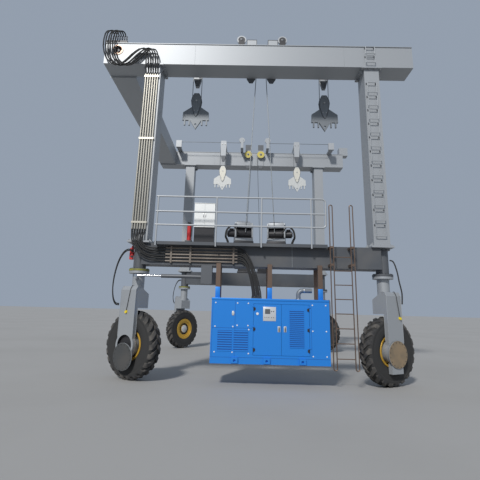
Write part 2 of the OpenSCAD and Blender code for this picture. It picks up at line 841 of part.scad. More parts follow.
module rim(side, end) {
    r = rim_d / 2;
    bore = axle_d / 2 + seat;
    color("#c99a2e") turned_corner(side, end)
        translate([0, 0, wheel_z]) rotate([90, 0, 0]) rotate_extrude($fn = 72)
        polygon([
            [0, -axle_end - 20], [boss_r, -axle_end - 20], [boss_r, -web_y], [well_r, -web_y],
            [well_r, -dish_y], [r - rim_t, -dish_y], [r - rim_t, -rim_half + 10], [flange_r, -rim_half + 10],
            [flange_r, -rim_half + 20], [r, -rim_half + 40], [r, out_half - 30],
            [out_flange_r, out_half - 10], [out_flange_r, out_half], [r - rim_t, out_half],
            [r - rim_t, -dish_y + 30],
            [well_r + rim_t, -dish_y + 30], [well_r + rim_t, -web_y + 30], [bore, -web_y + 30],
            [bore, -axle_end - seat], [0, -axle_end - seat]]);
}

module tyre(side, end) {
    r = tyre_d / 2;
    w = tyre_w / 2;
    bead = rim_d / 2 + seat;
    color("#2b2c2e") turned_corner(side, end)
        translate([0, 0, wheel_z]) rotate([90, 0, 0]) rotate_extrude($fn = 96)
        polygon([
            [bead, -rim_half + 42], [flange_r + 1, -rim_half + 22], [flange_r + 12, -rim_half + 6],
            [r - 250, -w], [r - 130, -w], [r - 40, -w + 20], [r, -w + 70], [r, w - 70],
            [r - 40, w - 20], [r - 130, w], [r - 250, w], [out_flange_r + 14, out_half + 2],
            [out_flange_r + 1, out_half - 12], [bead, out_half - 32]]);
}

// Steering cylinder of the near left wheel
lug_r = 290;
cyl_z = 2440;
cyl_end_x = pack_x1 - 295;
barrel_l = 1000;
barrel_d = 90;
steer_rod_d = 50;
steer_stroke = 320;
lever_t = 50;

module steering_barrel() {
    color("#4b5056") on_side(near) {
        block([cyl_end_x - 20, -lug_r - 60, cyl_z - 170], [cyl_end_x + 250, -beam_w / 4, beam_bottom]);
        difference() {
            rod_x(cyl_end_x - barrel_l, cyl_end_x - 19, -lug_r, cyl_z, barrel_d);
            rod_x(cyl_end_x - barrel_l - 1, cyl_end_x - 50, -lug_r, cyl_z, steer_rod_d + 2 * seat);
        }
    }
}

module steering_rod() {
    color("#b8bcc0") on_side(near) {
        rod_x(-leg_x + 30, cyl_end_x - 60 - steer_stroke, -lug_r, cyl_z, steer_rod_d);
        translate([-leg_x, -lug_r, cyl_z - 30]) cylinder(d = 90, h = 60);
    }
}

// Hydraulic hoses, each a tube along a route of points in its side frame's axes
leg_route = [
    [-3080, -348, pipe_foot - 1], [-3080, -348, 3520], [-3078, -385, 3440], [-3072, -424, 3350],
    [-3050, -430, 3240], [-2985, -428, 3130], [-2870, -410, 3040], [-2720, -372, 2985],
    [-2560, -340, 2974], [-2351, -340, 2974]];
pack_route = [
    [-559, -340, 2974], [-480, -340, 2974], [-390, -345, 2930], [-300, -348, 2820], [-225, -346, 2660],
    [-160, -335, 2480], [-105, -318, 2280], [-65, -303, 2080], [-60, -300, 1990], [-60, -300, 1941]];
top_route = [
    [-4190, -200, 9311], [-4190, -200, 9370], [-4230, -260, 9430], [-4300, -340, 9390],
    [-4365, -400, 9250], [-4380, -405, 8850], [-4250, -405, 8450], [-3980, -405, 8240],
    [-3740, -405, 8340], [-3540, -405, 8570], [-3340, -410, 8745], [-3190, -420, 8740],
    [-3105, -435, 8560], [-3085, -440, 8330], [-3080, -425, 8200], [-3080, -360, 8100],
    [-3080, -348, 8060], [-3080, -348, pipe_head + 1]];
near_left_route = [
    [-3212, -100, 3060], [-3330, -150, 3085], [-3430, -210, 2990], [-3520, -255, 2760],
    [-3575, -280, 2450], [-3590, -285, 2150], [-3570, -250, 1900], [-3520, -190, 1760], [-3442, -137, 1740]];
near_right_route = [
    [3276, -90, 2980], [3360, -120, 2930], [3420, -150, 2700], [3450, -165, 2450], [3500, -150, 2200],
    [3505, -140, 2050], [3495, -134, 1900]];
far_left_route = [
    [-3216, 60, 2900], [-3330, 60, 2860], [-3430, 50, 2700], [-3500, 40, 2450], [-3530, 30, 2200],
    [-3510, 20, 2000], [-3458, 5, 1880]];
winch_route = [
    [560, -268, 3600], [650, -272, 3720], [750, -272, 3740], [850, -265, 3640], [880, -255, 3480],
    [850, -246, 3400], [825, -242, 3330], [825, -242, 3274]];

function unit(v) = v / norm(v);
function along(p, i) = unit(p[min(i + 1, len(p) - 1)] - p[max(i - 1, 0)]);
function ring_at(c, d, r) =
    let (u = unit(cross(d, [0, 1, 0])), v = cross(d, u))
    [for (a = [0:45:315]) c + r * (cos(a) * u + sin(a) * v)];

module hose(route, d) {
    n = len(route);
    polyhedron(
        points = [for (i = [0:n - 1]) each ring_at(route[i], along(route, i), d / 2)],
        faces = concat(
            [[for (k = [0:7]) k]],
            [for (i = [0:n - 2], k = [0:7])
                [i * 8 + k, (i + 1) * 8 + k, (i + 1) * 8 + (k + 1) % 8, i * 8 + (k + 1) % 8]],
            [[for (k = [7:-1:0]) (n - 1) * 8 + k]]));
}

module hose_leg_bundle() {
    color("#1b1c1e") on_side(near) hose(leg_route, 110);
}

module hose_pack_bundle() {
    color("#1b1c1e") on_side(near) hose(pack_route, 110);
}

module hose_top_bundle() {
    color("#1b1c1e") on_side(near) hose(top_route, 100);
}

module hose_wheels() {
    color("#1b1c1e") {
        on_side(near) hose(near_left_route, 40);
        on_side(near) hose(near_right_route, 40);
        on_side(far) hose(far_left_route, 40);
    }
}

module hose_winches() {
    color("#1b1c1e") {
        on_side(near) mirror([1, 0, 0]) hose(winch_route, 34);
        on_side(near) hose(winch_route, 34);
    }
}

module legs() {
    for (side = [near, far], end = [left, right])
        leg(side, end);
}

module lower_beams() {
    lower_beam(near);
    lower_beam(far);
}

module winches() {
    side_winches(near, deck_top);
    side_winches(far, beam_top);
}

near_girder();
far_girder();
cross_girder();
legs();
corner_tubes();
lower_beams();
deck();
handrail();
ladder();
leg_steps();
leg_pipes();
beam_pipes();
hose_manifold();
warning_horn();
pack_skid();
pack_housing();
pack_door_left();
pack_door_right();
pack_hangers();
exhaust_pipe();
cabinet();
cabinet_door(left);  // cabinet_door_left
cabinet_door(right);  // cabinet_door_right
extinguisher();
winches();
winch_ropes();
centre_sheaves();
rope_anchors();
top_ropes();
trolley(near, -trolley_x);  // trolley_near_left
trolley(near, trolley_x);  // trolley_near_right
trolley(far, -far_left_x);  // trolley_far_left
trolley(far, trolley_x);  // trolley_far_right
hook_block(near, -trolley_x);  // hook_block_near_left
hook_block(near, trolley_x);  // hook_block_near_right
hook_block(far, -far_left_x);  // hook_block_far_left
hook_block(far, trolley_x);  // hook_block_far_right
hoist_ropes(near, -trolley_x);  // hoist_ropes_near_left
hoist_ropes(near, trolley_x);  // hoist_ropes_near_right
hoist_ropes(far, -far_left_x);  // hoist_ropes_far_left
hoist_ropes(far, trolley_x);  // hoist_ropes_far_right
yoke(near, left);  // yoke_near_left
yoke(near, right);  // yoke_near_right
yoke(far, left);  // yoke_far_left
yoke(far, right);  // yoke_far_right
tyre(near, left);  // tyre_near_left
tyre(near, right);  // tyre_near_right
tyre(far, left);  // tyre_far_left
tyre(far, right);  // tyre_far_right
rim(near, left);  // rim_near_left
rim(near, right);  // rim_near_right
rim(far, left);  // rim_far_left
rim(far, right);  // rim_far_right
steering_barrel();
steering_rod();
hose_leg_bundle();
hose_pack_bundle();
hose_top_bundle();
hose_wheels();
hose_winches();
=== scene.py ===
"""Looks of a rubber tyred gantry crane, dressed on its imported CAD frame.

Lengths are in metres, in the frame of the CAD model. In the classes, "frame axes" are those of one side
frame: x along it, y inwards from its centre plane, z up, so both side frames are dressed by the same code.
"""
import logging
import math
from dataclasses import dataclass
from enum import Enum
from typing import Iterable, Sequence

import bmesh
import bpy
from mathutils import Matrix, Vector


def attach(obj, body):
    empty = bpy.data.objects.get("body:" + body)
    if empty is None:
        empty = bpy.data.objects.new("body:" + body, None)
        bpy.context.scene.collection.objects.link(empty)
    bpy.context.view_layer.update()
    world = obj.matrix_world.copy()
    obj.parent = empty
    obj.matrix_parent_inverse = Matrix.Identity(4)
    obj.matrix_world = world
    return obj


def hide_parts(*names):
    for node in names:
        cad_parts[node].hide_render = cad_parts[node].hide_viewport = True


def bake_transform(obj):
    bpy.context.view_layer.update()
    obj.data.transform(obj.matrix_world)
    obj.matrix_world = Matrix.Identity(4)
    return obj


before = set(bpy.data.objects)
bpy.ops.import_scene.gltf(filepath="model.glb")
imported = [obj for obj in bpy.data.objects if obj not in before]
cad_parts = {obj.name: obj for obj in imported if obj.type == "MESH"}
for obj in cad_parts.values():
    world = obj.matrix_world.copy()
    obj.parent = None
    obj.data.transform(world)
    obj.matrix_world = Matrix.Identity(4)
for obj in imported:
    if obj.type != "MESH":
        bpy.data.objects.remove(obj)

LOG = logging.getLogger("gantry")
Vec = Sequence[float]
Point = tuple[float, float, float]
Outline = Sequence[tuple[float, float]]
Place = tuple[Vec, Vec]

TRACK = 7.88
LEG_X = 3.05
PIN_SHIFT = 0.06
PLACE_Y = -0.01502
BEAM_LOW, BEAM_TOP = 2.72, 3.26
GIRDER_LOW, GIRDER_TOP = 8.34, 9.0
BEAM_FACE = 0.28
GIRDER_FACE = 0.32
LEG_FACE = 0.29
MM_PER_M = 1000
SENSOR_MM = 36.0
FOCAL_PX = 390.2
IMAGE_PX = 480


class Keyed(Enum):
    """Members with the names that stand in the names of nodes and bodies."""

    @property
    def key(self) -> str:
        """The name in lower case."""
        return self.name.lower()


class Side(Keyed):
    """The two side frames, by the sign of their y."""

    NEAR = -1
    FAR = 1


class End(Keyed):
    """The two ends of a side frame, by the sign of their x."""

    LEFT = -1
    RIGHT = 1


def pin_x(end: End) -> float:
    """Place of the kingpins along the frame: the right ones stand further out than their legs."""
    return end.value * LEG_X + (PIN_SHIFT if end is End.RIGHT else 0)


@dataclass(frozen=True)
class Corner:
    """One corner of the machine with its wheel.

    Args:
        side: the side frame.
        end: the end of the side frame.
        steer: angle in degrees by which the wheel is turned out of straight.
        trolley_x: place of the trolley next to this corner.
    """

    side: Side
    end: End
    steer: float
    trolley_x: float

    @property
    def key(self) -> str:
        """Name of the corner as it stands in the names of nodes and bodies."""
        return f"{self.side.key}_{self.end.key}"

    def matrix(self) -> Matrix:
        """Axes of the turned wheel: x along its rolling direction, -y to its arm, origin on the ground."""
        turn = Matrix.Rotation(math.radians(self.end.value * self.steer), 4, "Z")
        return side_matrix(self.side) @ Matrix.Translation((pin_x(self.end), 0, 0)) @ turn


CORNERS = (
    Corner(Side.NEAR, End.LEFT, 31, -1.95),
    Corner(Side.NEAR, End.RIGHT, 29, 1.95),
    Corner(Side.FAR, End.LEFT, 50, -1.46),
    Corner(Side.FAR, End.RIGHT, 44, 1.95),
)


def side_matrix(side: Side) -> Matrix:
    """Frame axes of one side frame.

    Args:
        side: the side frame.

    Returns:
        The matrix from frame axes to the object's axes. The far one is mirrored.
    """
    place = Matrix.Translation((0, PLACE_Y + side.value * TRACK / 2, 0))
    return place if side is Side.NEAR else place @ Matrix.Diagonal((1, -1, 1, 1))


# Finishes

CLEAN_LEVEL = 0.66
GRIME_RANGE = 0.32
EDGE_BELOW, EDGE_ABOVE = 0.12, 0.14


def feed(tree: bpy.types.NodeTree, node: bpy.types.Node, inputs: dict[str | int, object]) -> None:
    """Sets a node's inputs.

    Args:
        tree: the node's tree.
        node: the node.
        inputs: for each input its value, or the socket that it is linked to.
    """
    for key, value in inputs.items():
        if isinstance(value, bpy.types.NodeSocket):
            tree.links.new(value, node.inputs[key])
        else:
            node.inputs[key].default_value = value


def add_node(tree: bpy.types.NodeTree, kind: str, inputs: dict[str | int, object],
             **settings: str) -> bpy.types.Node:
    """Adds a node with its settings and inputs.

    Args:
        tree: the tree that it is added to.
        kind: type of the node.
        inputs: for each input its value, or the socket that it is linked to.
        **settings: the node's own settings.

    Returns:
        The node.
    """
    node = tree.nodes.new(kind)
    for key, value in settings.items():
        setattr(node, key, value)
    feed(tree, node, inputs)
    return node


@dataclass(frozen=True)
class Finish:
    """A procedural surface finish.

    Args:
        name: name of the material.
        color: main colour, linear RGB.
        grime: colour of the dirt, dust or wear on it.
        amount: share of the surface that the grime covers, 0 to 1.
        scale: size of the grime's pattern, as a noise scale.
        streak: how far the pattern is drawn out downwards.
        rough: roughness.
        metallic: share of bare metal, 0 to 1.
        bump: height of the fine relief in metres.
        bump_scale: noise scale of the fine relief.
    """

    name: str
    color: Point
    grime: Point
    amount: float = 0.3
    scale: float = 2.0
    streak: float = 1.0
    rough: float = 0.5
    metallic: float = 0.0
    bump: float = 0.0
    bump_scale: float = 60.0

    def material(self) -> bpy.types.Material:
        """The material of this finish, made on first use."""
        found = bpy.data.materials.get(self.name)
        if found:
            return found
        mat = bpy.data.materials.new(self.name)
        mat.use_nodes = True
        tree = mat.node_tree
        coord = tree.nodes.new("ShaderNodeTexCoord").outputs["Object"]
        stretch = add_node(tree, "ShaderNodeMapping", {"Scale": (1, 1, 1 / self.streak), "Vector": coord})
        noise = add_node(tree, "ShaderNodeTexNoise", {
            "Scale": self.scale, "Detail": 6, "Vector": stretch.outputs["Vector"]}).outputs["Fac"]
        middle = CLEAN_LEVEL - GRIME_RANGE * self.amount
        edge = add_node(tree, "ShaderNodeMapRange", {
            "From Min": middle - EDGE_BELOW, "From Max": middle + EDGE_ABOVE, "Value": noise})
        share = add_node(tree, "ShaderNodeMath", {
            0: edge.outputs["Result"], 1: min(1.0, self.amount * 1.3)}, operation="MULTIPLY")
        mix = add_node(tree, "ShaderNodeMix", {
            "A": (*self.color, 1), "B": (*self.grime, 1), "Factor": share.outputs["Value"]}, data_type="RGBA")
        rough = add_node(tree, "ShaderNodeMapRange", {
            "To Min": max(0.05, self.rough - 0.08), "To Max": min(1.0, self.rough + 0.2), "Value": noise})
        shader = {"Metallic": self.metallic, "Base Color": mix.outputs["Result"],
                  "Roughness": rough.outputs["Result"]}
        if self.bump:
            relief = add_node(tree, "ShaderNodeTexNoise", {
                "Scale": self.bump_scale, "Detail": 3, "Vector": coord})
            bump = add_node(tree, "ShaderNodeBump", {
                "Strength": 0.5, "Distance": self.bump, "Height": relief.outputs["Fac"]})
            shader["Normal"] = bump.outputs["Normal"]
        feed(tree, tree.nodes["Principled BSDF"], shader)
        return mat


GREY = Finish("grey_paint", (0.30, 0.335, 0.37), (0.20, 0.22, 0.24), 0.35, 0.9, 3.5, 0.42, 0.0, 0.0015, 30)
# Grey of the deck and the lower beams: partly their own darker paint, partly painted shade for the deck's
# shadow on the beams and the shade on the deck's edge.
LOW_GREY_AND_SHADE = Finish(
    "low_grey_paint", (0.080, 0.088, 0.10), (0.14, 0.135, 0.13), 0.35, 1.2, 1.0, 0.42, 0.0, 0.0015, 30)
DARK_GREY = Finish("dark_grey_paint", (0.10, 0.115, 0.13), (0.17, 0.16, 0.15), 0.4, 2.5, 2.0, 0.45)
WINCH_GREY = Finish("winch_paint", (0.12, 0.13, 0.14), (0.05, 0.05, 0.05), 0.4, 3.0, 1.0, 0.5)
LIGHT_GREY = Finish("light_paint", (0.36, 0.38, 0.39), (0.22, 0.22, 0.21), 0.35, 4.0, 1.0, 0.5)
RAIL_GREY = Finish("rail_paint", (0.34, 0.37, 0.40), (0.20, 0.19, 0.18), 0.3, 4.0, 1.0, 0.45, 0.2)
BLUE = Finish("blue_paint", (0.001, 0.25, 0.84), (0.01, 0.24, 0.68), 0.25, 2.0, 2.0, 0.38)
BLUE_DARK = Finish("blue_shadow", (0.004, 0.08, 0.34), (0.01, 0.07, 0.25), 0.2, 3.0, 1.0, 0.5)
WHITE = Finish("white_paint", (0.90, 0.91, 0.90), (0.60, 0.60, 0.57), 0.2, 3.0, 2.0, 0.4)
BLACK = Finish("black_steel", (0.02, 0.021, 0.023), (0.06, 0.055, 0.05), 0.35, 6.0, 1.0, 0.5)
RUST = Finish("rusty_steel", (0.19, 0.115, 0.075), (0.10, 0.09, 0.085), 0.5, 7.0, 1.0, 0.75, 0.1, 0.0008, 90)
PIPE = Finish("pipe_steel", (0.38, 0.36, 0.32), (0.20, 0.18, 0.15), 0.35, 3.0, 6.0, 0.38, 0.35)
PIPE_DARK = Finish("beam_pipe_steel", (0.22, 0.19, 0.16), (0.11, 0.09, 0.075), 0.4, 3.0, 6.0, 0.4, 0.3)
RED = Finish("red_paint", (0.55, 0.02, 0.03), (0.30, 0.02, 0.02), 0.25, 5.0, 1.0, 0.35)
STEEL = Finish("bare_steel", (0.42, 0.42, 0.42), (0.22, 0.20, 0.18), 0.4, 8.0, 1.0, 0.38, 0.7)
CHROME = Finish("chrome", (0.72, 0.73, 0.75), (0.55, 0.55, 0.56), 0.2, 5.0, 1.0, 0.12, 1.0)
ROPE = Finish("wire_rope", (0.13, 0.135, 0.14), (0.07, 0.07, 0.07), 0.4, 20.0, 1.0, 0.5, 0.5, 0.002, 120)
YELLOW = Finish("yellow_paint", (0.42, 0.26, 0.06), (0.24, 0.17, 0.08), 0.35, 6.0, 1.0, 0.5)
YELLOW_SHEAVE = Finish("yellow_sheave", (0.66, 0.55, 0.12), (0.35, 0.30, 0.12), 0.35, 9.0, 1.0, 0.5)
BAND = Finish("ring_band", (0.40, 0.40, 0.04), (0.16, 0.15, 0.05), 0.5, 7.0, 1.0, 0.5)
RUBBER = Finish("tyre_rubber", (0.026, 0.027, 0.029), (0.11, 0.10, 0.09), 0.38, 3.5, 1.0, 0.8, 0.0, 0.001, 90)
TREAD = Finish(
    "tread_rubber", (0.033, 0.033, 0.035), (0.17, 0.155, 0.135), 0.45, 5.0, 1.0, 0.85, 0.0, 0.002, 60)
HOSE = Finish("hose_rubber", (0.016, 0.017, 0.019), (0.05, 0.05, 0.05), 0.3, 8.0, 1.0, 0.36)
CREAM = Finish("cream_paint", (0.66, 0.62, 0.50), (0.42, 0.38, 0.30), 0.35, 5.0, 2.0, 0.5)
TAN = Finish("dusty_cover", (0.27, 0.20, 0.125), (0.17, 0.14, 0.10), 0.5, 5.0, 1.0, 0.8)
COVER = Finish("dark_cover", (0.055, 0.058, 0.06), (0.11, 0.10, 0.09), 0.3, 3.0, 1.0, 0.7)
SENSOR = Finish("sensor_yellow", (0.80, 0.62, 0.03), (0.5, 0.4, 0.05), 0.2, 8.0, 1.0, 0.4)
PLATE_SILVER = Finish("plate_silver", (0.62, 0.64, 0.66), (0.45, 0.46, 0.48), 0.2, 8.0, 1.0, 0.3, 0.3)
FLOOR = Finish("floor", (0.36, 0.355, 0.345), (0.32, 0.315, 0.305), 0.4, 0.25, 1.0, 0.85)

# Shapes

BEVEL_ANGLE = 40


class Shape:
    """A mesh under construction, in the axes of its matrix.

    Args:
        matrix: from the axes that the shapes are given in to the object's axes.
    """

    def __init__(self, matrix: Matrix | None = None) -> None:
        self.bm = bmesh.new()
        self.matrix = matrix or Matrix()

    def box(self, low: Vec, high: Vec) -> "Shape":
        """Adds a box between two corners."""
        middle = [(a + b) / 2 for a, b in zip(low, high)]
        size = [abs(b - a) for a, b in zip(low, high)]
        place = Matrix.Translation(middle) @ Matrix.Diagonal((*size, 1))
        bmesh.ops.create_cube(self.bm, size=1, matrix=place)
        return self

    def rod(self, a: Vec, b: Vec, r: float, n: int = 20, r2: float | None = None) -> "Shape":
        """Adds a cylinder, or with r2 a cone, from a to b."""
        start, end = Vector(a), Vector(b)
        along = end - start
        turn = along.to_track_quat("Z", "Y").to_matrix().to_4x4()
        place = Matrix.Translation((start + end) / 2) @ turn
        bmesh.ops.create_cone(
            self.bm, cap_ends=True, segments=n, radius1=r, radius2=r if r2 is None else r2,
            depth=along.length, matrix=place)
        return self

    def ball(self, at: Vec, r: float, n: int = 16) -> "Shape":
        """Adds a sphere."""
        bmesh.ops.create_uvsphere(
            self.bm, u_segments=n, v_segments=n // 2, radius=r, matrix=Matrix.Translation(at))
        return self

    def band(self, one: Sequence[bmesh.types.BMVert], two: Sequence[bmesh.types.BMVert]) -> None:
        """Joins two rings of points by faces."""
        for k in range(len(one)):
            j = (k + 1) % len(one)
            self.bm.faces.new((one[k], one[j], two[j], two[k]))

    def plate(self, points: Outline, y1: float, y2: float) -> "Shape":
        """Adds a plate with an outline of (x, z) points, from y1 to y2."""
        front = [self.bm.verts.new((x, y1, z)) for x, z in points]
        back = [self.bm.verts.new((x, y2, z)) for x, z in points]
        self.bm.faces.new(front)
        self.bm.faces.new(list(reversed(back)))
        self.band(front, back)
        return self

    def lathe(self, profile: Outline, at: Vec, n: int = 64) -> "Shape":
        """Adds a ring turned round the Y axis through a point.

        Args:
            profile: closed outline of (radius, y) points.
            at: the point that y and the radius count from.
            n: number of steps round.
        """
        rings = []
        for k in range(n):
            a = 2 * math.pi * k / n
            rings.append([self.bm.verts.new(
                (at[0] + r * math.cos(a), at[1] + y, at[2] + r * math.sin(a))) for r, y in profile])
        for k in range(n):
            self.band(rings[k], rings[(k + 1) % n])
        return self

    def ring(self, r1: float, r2: float, y1: float, y2: float, at: Vec, n: int = 64) -> "Shape":
        """Adds a ring with a rectangular section: radii r1 to r2, y1 to y2 from the point."""
        return self.lathe([(r1, y1), (r2, y1), (r2, y2), (r1, y2)], at, n)

    def tube(self, points: Sequence[Vec], r: float, n: int = 10) -> "Shape":
        """Adds a round bar along points."""
        path = [Vector(p) for p in points]
        rings = []
        up = Vector((0.03, 0.02, 1))
        for i, p in enumerate(path):
            way = (path[min(i + 1, len(path) - 1)] - path[max(i - 1, 0)]).normalized()
            if abs(way.dot(up.normalized())) > 0.95:
                up = Vector((0, 1, 0.05))
            side = way.cross(up).normalized()
            up = side.cross(way).normalized()
            turns = [2 * math.pi * k / n for k in range(n)]
            rings.append([self.bm.verts.new(p + r * (math.cos(a) * side + math.sin(a) * up)) for a in turns])
        for one, two in zip(rings, rings[1:]):
            self.band(one, two)
        self.bm.faces.new(list(reversed(rings[0])))
        self.bm.faces.new(rings[-1])
        return self

    def mesh(self, name: str, finish: Finish, bevel: float = 0.0, smooth: float = 35.0) -> bpy.types.Mesh:
        """Ends the construction.

        Args:
            name: name of the mesh.
            finish: its finish.
            bevel: width of the rounding on its sharp edges, in metres.
            smooth: largest angle in degrees between faces that are shaded as one.

        Returns:
            The finished mesh, in the object's axes.
        """
        bmesh.ops.recalc_face_normals(self.bm, faces=self.bm.faces)
        if bevel:
            limit = math.radians(BEVEL_ANGLE)
            sharp = [e for e in self.bm.edges if e.is_manifold and e.calc_face_angle(0) > limit]
            bmesh.ops.bevel(
                self.bm, geom=sharp, offset=bevel, segments=2, profile=0.5, affect="EDGES",
                clamp_overlap=True)
        self.bm.transform(self.matrix)
        if self.matrix.determinant() < 0:
            bmesh.ops.reverse_faces(self.bm, faces=self.bm.faces)
        mesh = bpy.data.meshes.new(name)
        self.bm.to_mesh(mesh)
        self.bm.free()
        mesh.materials.append(finish.material())
        for face in mesh.polygons:
            face.use_smooth = True
        mesh.set_sharp_from_angle(angle=math.radians(smooth))
        return mesh


def piece(name: str, mesh: bpy.types.ID, body: str | None,
          replaced: Iterable[str] = ()) -> bpy.types.Object:
    """Puts a mesh or curve into the scene as a piece of the object.

    Args:
        name: name of the piece.
        mesh: its data.
        body: the CAD body that it rides on, or None for a piece that rides on no single body.
        replaced: CAD nodes that it stands for.

    Returns:
        The new object.
    """
    obj = bpy.data.objects.new(name, mesh)
    bpy.context.scene.collection.objects.link(obj)
    if body:
        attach(obj, body)
    if replaced:
        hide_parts(*replaced)
    LOG.info("piece %s on %s", name, body)
    return obj


# Repeats by Geometry Nodes


class Repeater:
    """Copies a small mesh to many places by a Geometry Nodes group, and gives back one plain mesh."""

    GROUP = "copies_on_points"

    def __init__(self) -> None:
        self.group = bpy.data.node_groups.get(self.GROUP) or self._build()

    def _build(self) -> bpy.types.NodeTree:
        """Makes the node group: each point's rotation is its attribute "turn"."""
        group = bpy.data.node_groups.new(self.GROUP, "GeometryNodeTree")
        for name, way, kind in (("Points", "INPUT", "Geometry"), ("Copy", "INPUT", "Object"),
                                ("Material", "INPUT", "Material"), ("Geometry", "OUTPUT", "Geometry")):
            group.interface.new_socket(name, in_out=way, socket_type=f"NodeSocket{kind}")
        given = group.nodes.new("NodeGroupInput").outputs
        info = add_node(group, "GeometryNodeObjectInfo", {"Object": given["Copy"]})
        turn = add_node(group, "GeometryNodeInputNamedAttribute", {"Name": "turn"}, data_type="FLOAT_VECTOR")
        place = add_node(group, "GeometryNodeInstanceOnPoints", {
            "Points": given["Points"], "Instance": info.outputs["Geometry"],
            "Rotation": turn.outputs["Attribute"]})
        real = add_node(group, "GeometryNodeRealizeInstances", {"Geometry": place.outputs["Instances"]})
        paint = add_node(group, "GeometryNodeSetMaterial", {
            "Geometry": real.outputs["Geometry"], "Material": given["Material"]})
        add_node(group, "NodeGroupOutput", {"Geometry": paint.outputs["Geometry"]})
        return group

    def copies(self, name: str, shape: Shape, places: Sequence[Place], finish: Finish,
               matrix: Matrix) -> bpy.types.Mesh:
        """One mesh with the shape at each place.

        Args:
            name: name of the mesh.
            shape: the shape, round the origin.
            places: point and rotation (radians about X, Y, Z) of each copy.
            finish: the finish of the copies.
            matrix: from the axes of the places to the object's axes.

        Returns:
            The plain mesh.
        """
        seed = shape.mesh(name + "_one", finish)
        source = bpy.data.objects.new(name + "_one", seed)
        points = bpy.data.meshes.new(name + "_points")
        points.from_pydata([tuple(p) for p, _ in places], [], [])
        turn = points.attributes.new("turn", "FLOAT_VECTOR", "POINT")
        for i, (_, angles) in enumerate(places):
            turn.data[i].vector = angles
        carrier = bpy.data.objects.new(name + "_points", points)
        bpy.context.scene.collection.objects.link(carrier)
        bpy.context.scene.collection.objects.link(source)
        mod = carrier.modifiers.new("copies", "NODES")
        mod.node_group = self.group
        sockets = {s.name: s.identifier for s in self.group.interface.items_tree if s.in_out == "INPUT"}
        mod[sockets["Copy"]] = source
        mod[sockets["Material"]] = finish.material()
        bpy.context.view_layer.update()
        held = carrier.evaluated_get(bpy.context.evaluated_depsgraph_get())
        mesh = bpy.data.meshes.new_from_object(held)
        mesh.name = name
        carrier.modifiers.remove(mod)
        bpy.data.objects.remove(carrier)
        bpy.data.objects.remove(source)
        mesh.transform(matrix)
        if matrix.determinant() < 0:
            mesh.flip_normals()
        return mesh


@dataclass(frozen=True)
class Group:
    """Pieces that share the start of their names, their axes and their body.

    Args:
        start: start of the pieces' names.
        matrix: from the axes that the pieces are given in to the object's axes.
        body: the CAD body that they ride on.
        slot: the record's material slot; not used.
    """

    start: str
    matrix: Matrix
    body: str
    slot: str

    def shape(self) -> Shape:
        """An empty shape in the group's axes."""
        return Shape(self.matrix)

    def add(self, name: str, shape: Shape, finish: Finish, bevel: float = 0.0, smooth: float = 35.0,
            replaced: Iterable[str] = ()) -> None:
        """Puts a shape into the scene.

        Args:
            name: end of the piece's name.
            shape: the shape, in the group's axes.
            finish: its finish.
            bevel: width of the rounding on its sharp edges, in metres.
            smooth: largest angle in degrees between faces that are shaded as one.
            replaced: CAD nodes that it stands for.
        """
        full = self.start + name
        piece(full, shape.mesh(full, finish, bevel, smooth), self.body, replaced)

    def repeat(self, name: str, shape: Shape, places: Sequence[Place], finish: Finish,
               replaced: Iterable[str] = ()) -> None:
        """Puts copies of a shape into the scene, as one piece.

        Args:
            name: end of the piece's name.
            shape: the shape, round the origin.
            places: place and turn of each copy.
            finish: the finish of the copies.
            replaced: CAD nodes that they stand for.
        """
        full = self.start + name
        mesh = Repeater().copies(full, shape, places, finish, self.matrix)
        piece(full, mesh, self.body, replaced)


def unturned(points: Iterable[Vec]) -> list[Place]:
    """Places of copies that aren't turned, at the given points."""
    return [(p, (0, 0, 0)) for p in points]


def around(at: Vec, n: int, shift: float = 0.0) -> list[Place]:
    """Places of n copies round the Y axis through a point, shifted on by a share of a step."""
    return [(at, (0, 2 * math.pi * (i + shift) / n, 0)) for i in range(n)]


def oval(r: float, y: float, half_r: float, half_y: float, n: int) -> Outline:
    """Outline of a bead for a lathe: n corners round the point (r, y)."""
    turns = [2 * math.pi * k / n for k in range(n)]
    return [(r + half_r * math.cos(a), y + half_y * math.sin(a)) for a in turns]


def bolt(r: float, h: float) -> Shape:
    """A hexagonal bolt head on a washer, standing on the origin."""
    washer = (0, 0, h * 0.25)
    return Shape().rod((0, 0, 0), washer, r * 1.35, 16).rod(washer, (0, 0, h), r, 6)


# Camera, light and floor


@dataclass(frozen=True)
class Sun:
    """A sun lamp.

    Args:
        name: its name.
        turn: its rotation in degrees.
        power: its strength.
        angle: the angle in degrees that it is seen under. A larger one gives softer shadows.
    """

    name: str
    turn: Point
    power: float
    angle: float


SUNS = (Sun("key", (50, 0, -22), 2.7, 6.0), Sun("fill", (60, 0, 40), 0.1, 60.0))
SUN_COLOR = (1.0, 0.975, 0.94)
SKY_COLOR = (0.70, 0.82, 1.0, 1)
SKY_STRENGTH = 0.42


